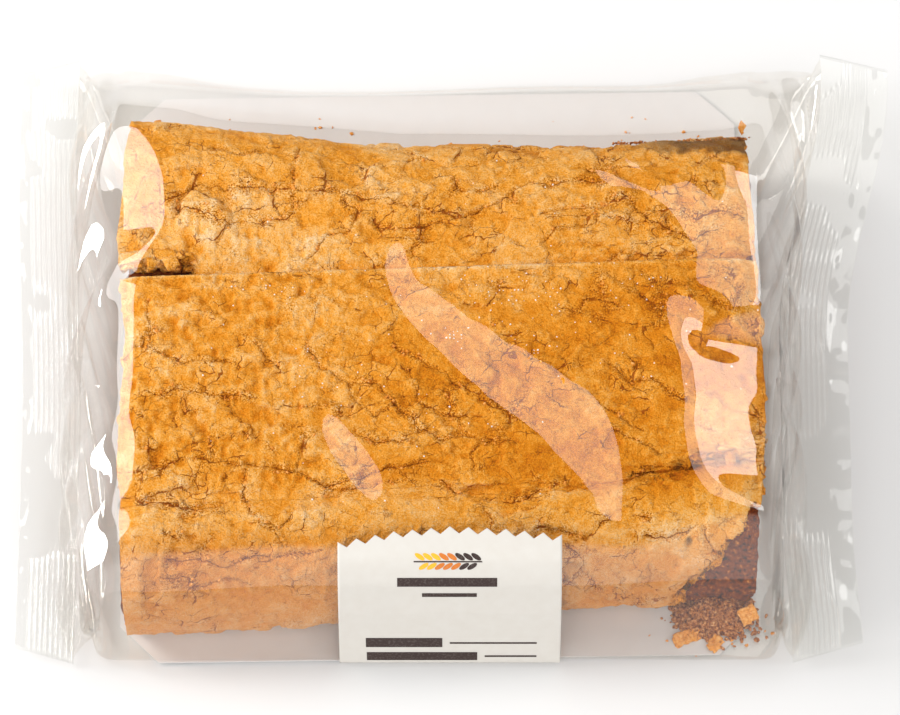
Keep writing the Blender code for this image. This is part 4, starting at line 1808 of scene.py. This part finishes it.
    def lay_out(self) -> tuple[np.ndarray, np.ndarray, np.ndarray]:
        """Places the film's grid and measures how much film there is.

        Returns:
            Points (rings, around, 3), each ring's station, and each ring's share out into an end.
        """
        body = int(round((self.end_x[1] - self.end_x[0]) / self.pitch))
        left = np.linspace(-1.0, 0.0, self.end_rings + 1)[:-1]
        right = np.linspace(1.0, 2.0, self.end_rings + 1)[1:]
        stations = np.concatenate([left, np.linspace(0.0, 1.0, body + 1), right])
        rings = []
        for station in stations:
            line = self.ring(float(station))
            run = np.concatenate([[0.0], np.cumsum(np.linalg.norm(np.diff(line, axis=0), axis=1))])
            total = run[-1] + np.linalg.norm(line[0] - line[-1])
            places = np.arange(self.around) * total / self.around
            closed = np.concatenate([line, line[:1]])
            run = np.append(run, total)
            rings.append(np.stack([np.interp(places, run, closed[:, k]) for k in range(3)], axis=1))
        out = np.clip(np.maximum(-stations, stations - 1.0), 0.0, 1.0)
        return np.array(rings), stations, out

    def build(self, material: Material, crimped: Material) -> None:
        """Builds the sleeve of film and its two crimped seals.

        Args:
            material: The film's finish.
            crimped: Its finish at the seals.
        """
        net = FilmNet(*self.lay_out(), self.slack, self.under_z, self.end_rings)
        net.settle(self.rounds)
        mesh = grid_mesh("film_sleeve", np.concatenate([net.points, net.points[:, :1]], axis=1))
        join_seam(mesh)
        sleeve = add_piece("film_sleeve", mesh, material, POUCH_NODE)
        smooth = sleeve.modifiers.new("smooth", "SUBSURF")
        smooth.levels = smooth.render_levels = 1
        for name, seal in (("left_crimp", LEFT_SEAL), ("right_crimp", RIGHT_SEAL)):
            self.build_crimp(name, seal, crimped)

    def build_crimp(self, name: str, seal: SealLine, material: Material) -> None:
        """Builds one crimped fin with its ridges, folds and fringe.

        Args:
            name: The piece's name.
            seal: Where it lies.
            material: Its finish.
        """
        grain = Grain(91 + seal.side)
        reach = np.linspace(0.0, self.crimp + seal.fringe, 100)[:, None]
        share = np.linspace(0.0, 1.0, 151)[None]
        points = seal.point(share, reach)
        y = points[..., 1]
        ridge = np.sin(2.0 * math.pi * self.ridges * reach / self.crimp) * ease((self.crimp - reach) / 0.3)
        clear = ease(0.75 + 1.6 * grain.layered(reach / 15.0, y / 14.0, 3))
        points[..., 2] += 0.33 * ridge * clear
        loose = ease((reach - self.crimp + 1.0) / 3.0)
        points[..., 2] += 0.8 * grain.layered(reach / 9.0, y / 9.0, 3) * loose
        mesh = grid_mesh(name, points)
        thicken(add_piece(name, mesh, material, POUCH_NODE), 0.12)


@dataclass
class Label:
    """The paper label: stuck over the front edge, pinked at its top, and run on underneath."""

    left: float = -31.2
    right: float = 28.4
    teeth: int = 12
    tooth: float = 1.9
    under: float = 48.0
    under_from: float = -89.2
    line_pitch: float = 0.25
    clear: float = 0.42
    thick: float = 0.18
    ink_lift: float = 0.05
    top_y: tuple = ((-31.2, -16.0, -1.0, 14.0, 28.4), (-70.2, -67.2, -65.8, -66.6, -68.1))
    ear_length: float = 11.4
    ear_grains: int = 15
    bars: tuple = (
        # from, to, length down the label and height; the two wide rows at the top stand for a name
        (-14.0, 12.6, 17.2, 2.6), (-7.4, 7.2, 21.4, 1.3),
        (-22.6, -2.0, 40.4, 3.9), (0.0, 23.4, 40.6, 0.7),
        (-22.4, 7.4, 46.2, 3.4), (9.4, 23.4, 46.2, 0.7),
    )
    rule_reaches: tuple = (22.0, 20.0, 21.4)
    rules: int = 9
    side: np.ndarray = field(init=False)
    line: np.ndarray = field(init=False)
    run: np.ndarray = field(init=False)

    def __post_init__(self) -> None:
        """Works out the line that the label follows, from above its top edge to its hidden end."""
        above = Pouch().upper_line(LABEL_MIDDLE, np.linspace(0.0, 1.0, 900))
        above = above[above[:, 0] < self.top_y[1][2] + 2.0][::-1]
        under_y = np.linspace(self.under_from, self.under_from + self.under, 200)
        below = np.column_stack([under_y, np.full(len(under_y), Pouch().under_z)])
        line = np.concatenate([above, below])
        run = np.concatenate([[0.0], np.cumsum(np.hypot(*np.diff(line, axis=0).T))])
        even = np.arange(0.0, run[-1], self.line_pitch)
        line = np.stack([np.interp(even, run, line[:, k]) for k in (0, 1)], axis=1)
        for _ in range(12):
            line[1:-1] = (line[:-2] + 2 * line[1:-1] + line[2:]) / 4
        way = np.gradient(line, axis=0)
        side = np.stack([way[:, 1], -way[:, 0]], axis=1)
        side /= np.linalg.norm(side, axis=1, keepdims=True)
        self.side = side
        self.line = line + side * self.clear
        self.run = even

    def start(self, x: np.ndarray) -> np.ndarray:
        """Length along the line at which the label's toothed edge begins at each x.

        Args:
            x: Places across the label.

        Returns:
            The lengths.
        """
        y = np.interp(x, *self.top_y)
        base = np.interp(-y, -self.line[:200, 0], self.run[:200])
        step = (x - self.left) / (self.right - self.left) * self.teeth
        return base + self.tooth * (1.0 - np.abs(2.0 * (step % 1.0) - 1.0))

    def place(self, x: np.ndarray, length: np.ndarray, lift: float) -> np.ndarray:
        """Places on the label's outer face.

        Args:
            x: Places across the label.
            length: Lengths down it, from the top of its line.
            lift: Height above the face.

        Returns:
            Array with a last axis of x, y and z.
        """
        y = np.interp(length, self.run, self.line[:, 0] + self.side[:, 0] * lift)
        z = np.interp(length, self.run, self.line[:, 1] + self.side[:, 1] * lift)
        return np.stack(np.broadcast_arrays(x, y, z), axis=-1)

    def build(self, paper: Material, inks: dict) -> None:
        """Builds the paper and its print.

        Args:
            paper: The paper's finish.
            inks: The print's finishes by name.
        """
        columns = np.linspace(self.left, self.right, self.teeth * 8 + 1)[:, None]
        share = np.linspace(0.0, 1.0, 150)[None] ** 1.15
        start = self.start(columns)
        length = start + (self.run[-1] - start) * share
        mesh = grid_mesh("paper_label", self.place(columns, length, 0.0))
        join_seam(mesh)
        thicken(add_piece("paper_label", mesh, paper, LABEL_NODE), self.thick)
        self.build_print(inks)

    def build_print(self, inks: dict) -> None:
        """Builds the print: an ear of grain, bars and rules, as ink lying on the paper.

        Args:
            inks: The print's finishes by name.
        """
        work = bmesh.new()
        names = list(inks)
        brown = names.index("brown")
        centre = (self.left + self.right) / 2.0
        for index in range(self.ear_grains):
            share = index / (self.ear_grains - 1.0)
            side = 1 if index % 2 else -1
            length = self.ear_length + 1.25 * side
            self.add_grain(work, centre - 8.0 + 15.0 * share, length, side * 32.0, min(int(share * 3.0), 2))
        self.add_bar(work, centre - 9.6, centre + 8.6, self.ear_length, 0.35, brown)
        for low, high, length, height in self.bars:
            self.add_bar(work, centre + low, centre + high, length, height, brown)
        for index in range(self.rules):
            reach = self.rule_reaches[index % 3]
            self.add_bar(work, centre - 22.0, centre + reach, 56.0 + 3.6 * index, 0.6, brown)
        mesh = new_mesh("label_print", work)
        for ink in inks.values():
            mesh.materials.append(ink)
        flat = read_points(mesh)
        place_points(mesh, self.place(flat[:, 0], flat[:, 1], self.ink_lift))
        add_piece("label_print", mesh, inks["brown"], LABEL_NODE)

    @staticmethod
    def add_grain(work: bmesh.types.BMesh, x: float, length: float, turn: float, ink: int) -> None:
        """Adds one grain of the ear, flat, in label coordinates.

        Args:
            work: The print's bmesh.
            x: Its middle across the label.
            length: Its middle down the label.
            turn: Its turn in degrees.
            ink: Number of its ink.
        """
        made = bmesh.ops.create_circle(work, cap_ends=True, segments=16, radius=1.0)["verts"]
        shape = Matrix.Translation((x, length, 0.0)) @ Matrix.Rotation(math.radians(-turn), 4, "Z")
        bmesh.ops.transform(work, matrix=shape @ Matrix.Diagonal((1.5, 0.62, 1.0, 1.0)), verts=made)
        for face in {face for vert in made for face in vert.link_faces}:
            face.material_index = ink

    @staticmethod
    def add_bar(
        work: bmesh.types.BMesh, low: float, high: float, length: float, height: float, ink: int
    ) -> None:
        """Adds one bar or rule, flat, in label coordinates.

        Args:
            work: The print's bmesh.
            low: Its left end.
            high: Its right end.
            length: Its middle down the label.
            height: Its height.
            ink: Number of its ink.
        """
        made = bmesh.ops.create_grid(work, x_segments=2, y_segments=8, size=0.5)["verts"]
        shape = Matrix.Translation(((low + high) / 2.0, length, 0.0))
        sized = Matrix.Diagonal((high - low, height, 1.0, 1.0))
        bmesh.ops.transform(work, matrix=shape @ sized, verts=made)
        for face in {face for vert in made for face in vert.link_faces}:
            face.material_index = ink


# ---- studio


@dataclass
class Studio:
    """Pale floor, soft boxes with a key light from the left, a soft surround and the camera."""

    elevation: float = 65.0
    distance: float = 1300.0
    target: tuple = (-1.35, -5.9, 15.5)
    lens: float = 188.8
    floor: str = "#dddcdb"
    floor_half: float = 3000.0
    front_level: float = 1.5
    back_level: float = 0.12
    side_level: float = 1.35
    overhead: float = 0.03
    softboxes: tuple = (
        # azimuth (0 from the front, 90 from the right), elevation, distance, width, height, watts
        (-128.0, 48.0, 1000.0, 320.0, 420.0, 1.9),
        (158.0, 55.0, 1000.0, 270.0, 600.0, 0.9),
        (132.0, 52.0, 1000.0, 240.0, 440.0, 1.6),
        (-100.0, 31.0, 1000.0, 260.0, 260.0, 6.8),
    )

    def spot(self, azimuth: float, elevation: float, distance: float) -> Vector:
        """A place seen from the target.

        Args:
            azimuth: Degrees round from the front.
            elevation: Degrees up.
            distance: Millimetres away.

        Returns:
            The place, in metres.
        """
        turn, lift = math.radians(azimuth), math.radians(elevation)
        way = Vector((math.sin(turn) * math.cos(lift), -math.cos(turn) * math.cos(lift), math.sin(lift)))
        return Vector(self.target) * MM + way * distance * MM

    def build(self) -> None:
        """Sets up the floor, the lights and the camera."""
        bpy.context.scene.view_settings.view_transform = "Standard"
        self.build_floor()
        for index, softbox in enumerate(self.softboxes):
            self.add_softbox(f"softbox_{index}", *softbox)
        self.build_surround()
        self.place_camera()

    def build_floor(self) -> None:
        """Lays the pale floor."""
        work = bmesh.new()
        bmesh.ops.create_grid(work, x_segments=1, y_segments=1, size=self.floor_half * MM)
        mesh = new_mesh("floor", work)
        floor = bpy.data.objects.new("floor", mesh)
        bpy.context.scene.collection.objects.link(floor)
        material, tree = new_material("pale_studio_paper")
        show(material, add_node(tree, "ShaderNodeBsdfDiffuse", Color=tone(self.floor)))
        mesh.materials.append(material)

    def add_softbox(
        self, name: str, azimuth: float, elevation: float, distance: float, width: float, height: float,
        watts: float,
    ) -> None:
        """Adds one soft box that faces the target, with its width as near level as it can be.

        Args:
            name: Its name.
            azimuth: Degrees round from the front.
            elevation: Degrees up.
            distance: Millimetres from the target.
            width: Width in millimetres.
            height: Height in millimetres.
            watts: Its power.
        """
        light = bpy.data.lights.new(name, "AREA")
        light.shape = "RECTANGLE"
        light.size = width * MM
        light.size_y = height * MM
        light.energy = watts
        lamp = bpy.data.objects.new(name, light)
        bpy.context.scene.collection.objects.link(lamp)
        lamp.location = self.spot(azimuth, elevation, distance)
        back = (lamp.location - Vector(self.target) * MM).normalized()
        side = (Vector((1.0, 0.0, 0.0)) - back * back.x).normalized()
        lamp.rotation_euler = Matrix((side, back.cross(side), back)).transposed().to_euler()

    def build_surround(self) -> None:
        """Builds the surround: bright in front and at the sides, dark behind, and darkest high at the back,
        where a level film mirrors the camera.
        """
        world = bpy.data.worlds.new("soft_surround")
        bpy.context.scene.world = world
        world.use_nodes = True
        tree = world.node_tree
        way = add_node(tree, PLACES).outputs["Generated"]
        parts = add_node(tree, "ShaderNodeSeparateXYZ", Vector=way).outputs
        level = add_node(
            tree, RANGE, SOFT, Value=parts["Y"], From_Min=-0.5, From_Max=0.3,
            To_Min=self.front_level, To_Max=self.back_level,
        ).outputs[0]
        aside = add_node(tree, MATH, ABSOLUTE, in_0=parts["X"]).outputs[0]
        level = add_node(
            tree, RANGE, SOFT, Value=aside, From_Min=0.55, From_Max=0.85, To_Min=level,
            To_Max=self.side_level,
        ).outputs[0]
        lift = math.radians(self.elevation)
        above = (0.0, math.cos(lift), math.sin(lift))
        near = add_node(
            tree, VECTORS, {"operation": "DOT_PRODUCT"}, in_0=way, in_1=above
        ).outputs["Value"]
        level = add_node(
            tree, RANGE, SOFT, Value=near, From_Min=0.80, From_Max=0.92, To_Min=level, To_Max=self.overhead
        ).outputs[0]
        tree.nodes["Background"].inputs["Color"].default_value = tone("#ffffff")
        tree.links.new(level, tree.nodes["Background"].inputs["Strength"])

    def place_camera(self) -> None:
        """Places the camera, looking at the target from the front and above."""
        camera = bpy.data.cameras.new("camera")
        camera.lens = self.lens
        camera.clip_end = 20.0
        eye = bpy.data.objects.new("camera", camera)
        bpy.context.scene.collection.objects.link(eye)
        eye.location = self.spot(0.0, self.elevation, self.distance)
        eye.rotation_euler = (Vector(self.target) * MM - eye.location).to_track_quat("-Z", "Y").to_euler()
        bpy.context.scene.camera = eye


def main() -> None:
    """Builds every piece in order."""
    logging.basicConfig(level=logging.INFO, format="%(name)s %(message)s")
    strudel = Strudel()
    strudel.build_crust(CrustFinish().make())
    strudel.build_filling(FILLING_FINISH.make())
    Scatter(strudel).build(CRUMB_FINISH.make(), SUGAR_FINISH.make(), SPILL_FINISH.make())
    Card().build(BOARD_FINISH.make())
    Pouch().build(FilmFinish().make(), CRIMPED_FILM.make())
    inks = {name: InkFinish(f"{name}_printing_ink", code).make() for name, code in INK_TONES.items()}
    Label().build(PAPER_FINISH.make(), inks)
    Studio().build()


if __name__ == "__main__":
    main()
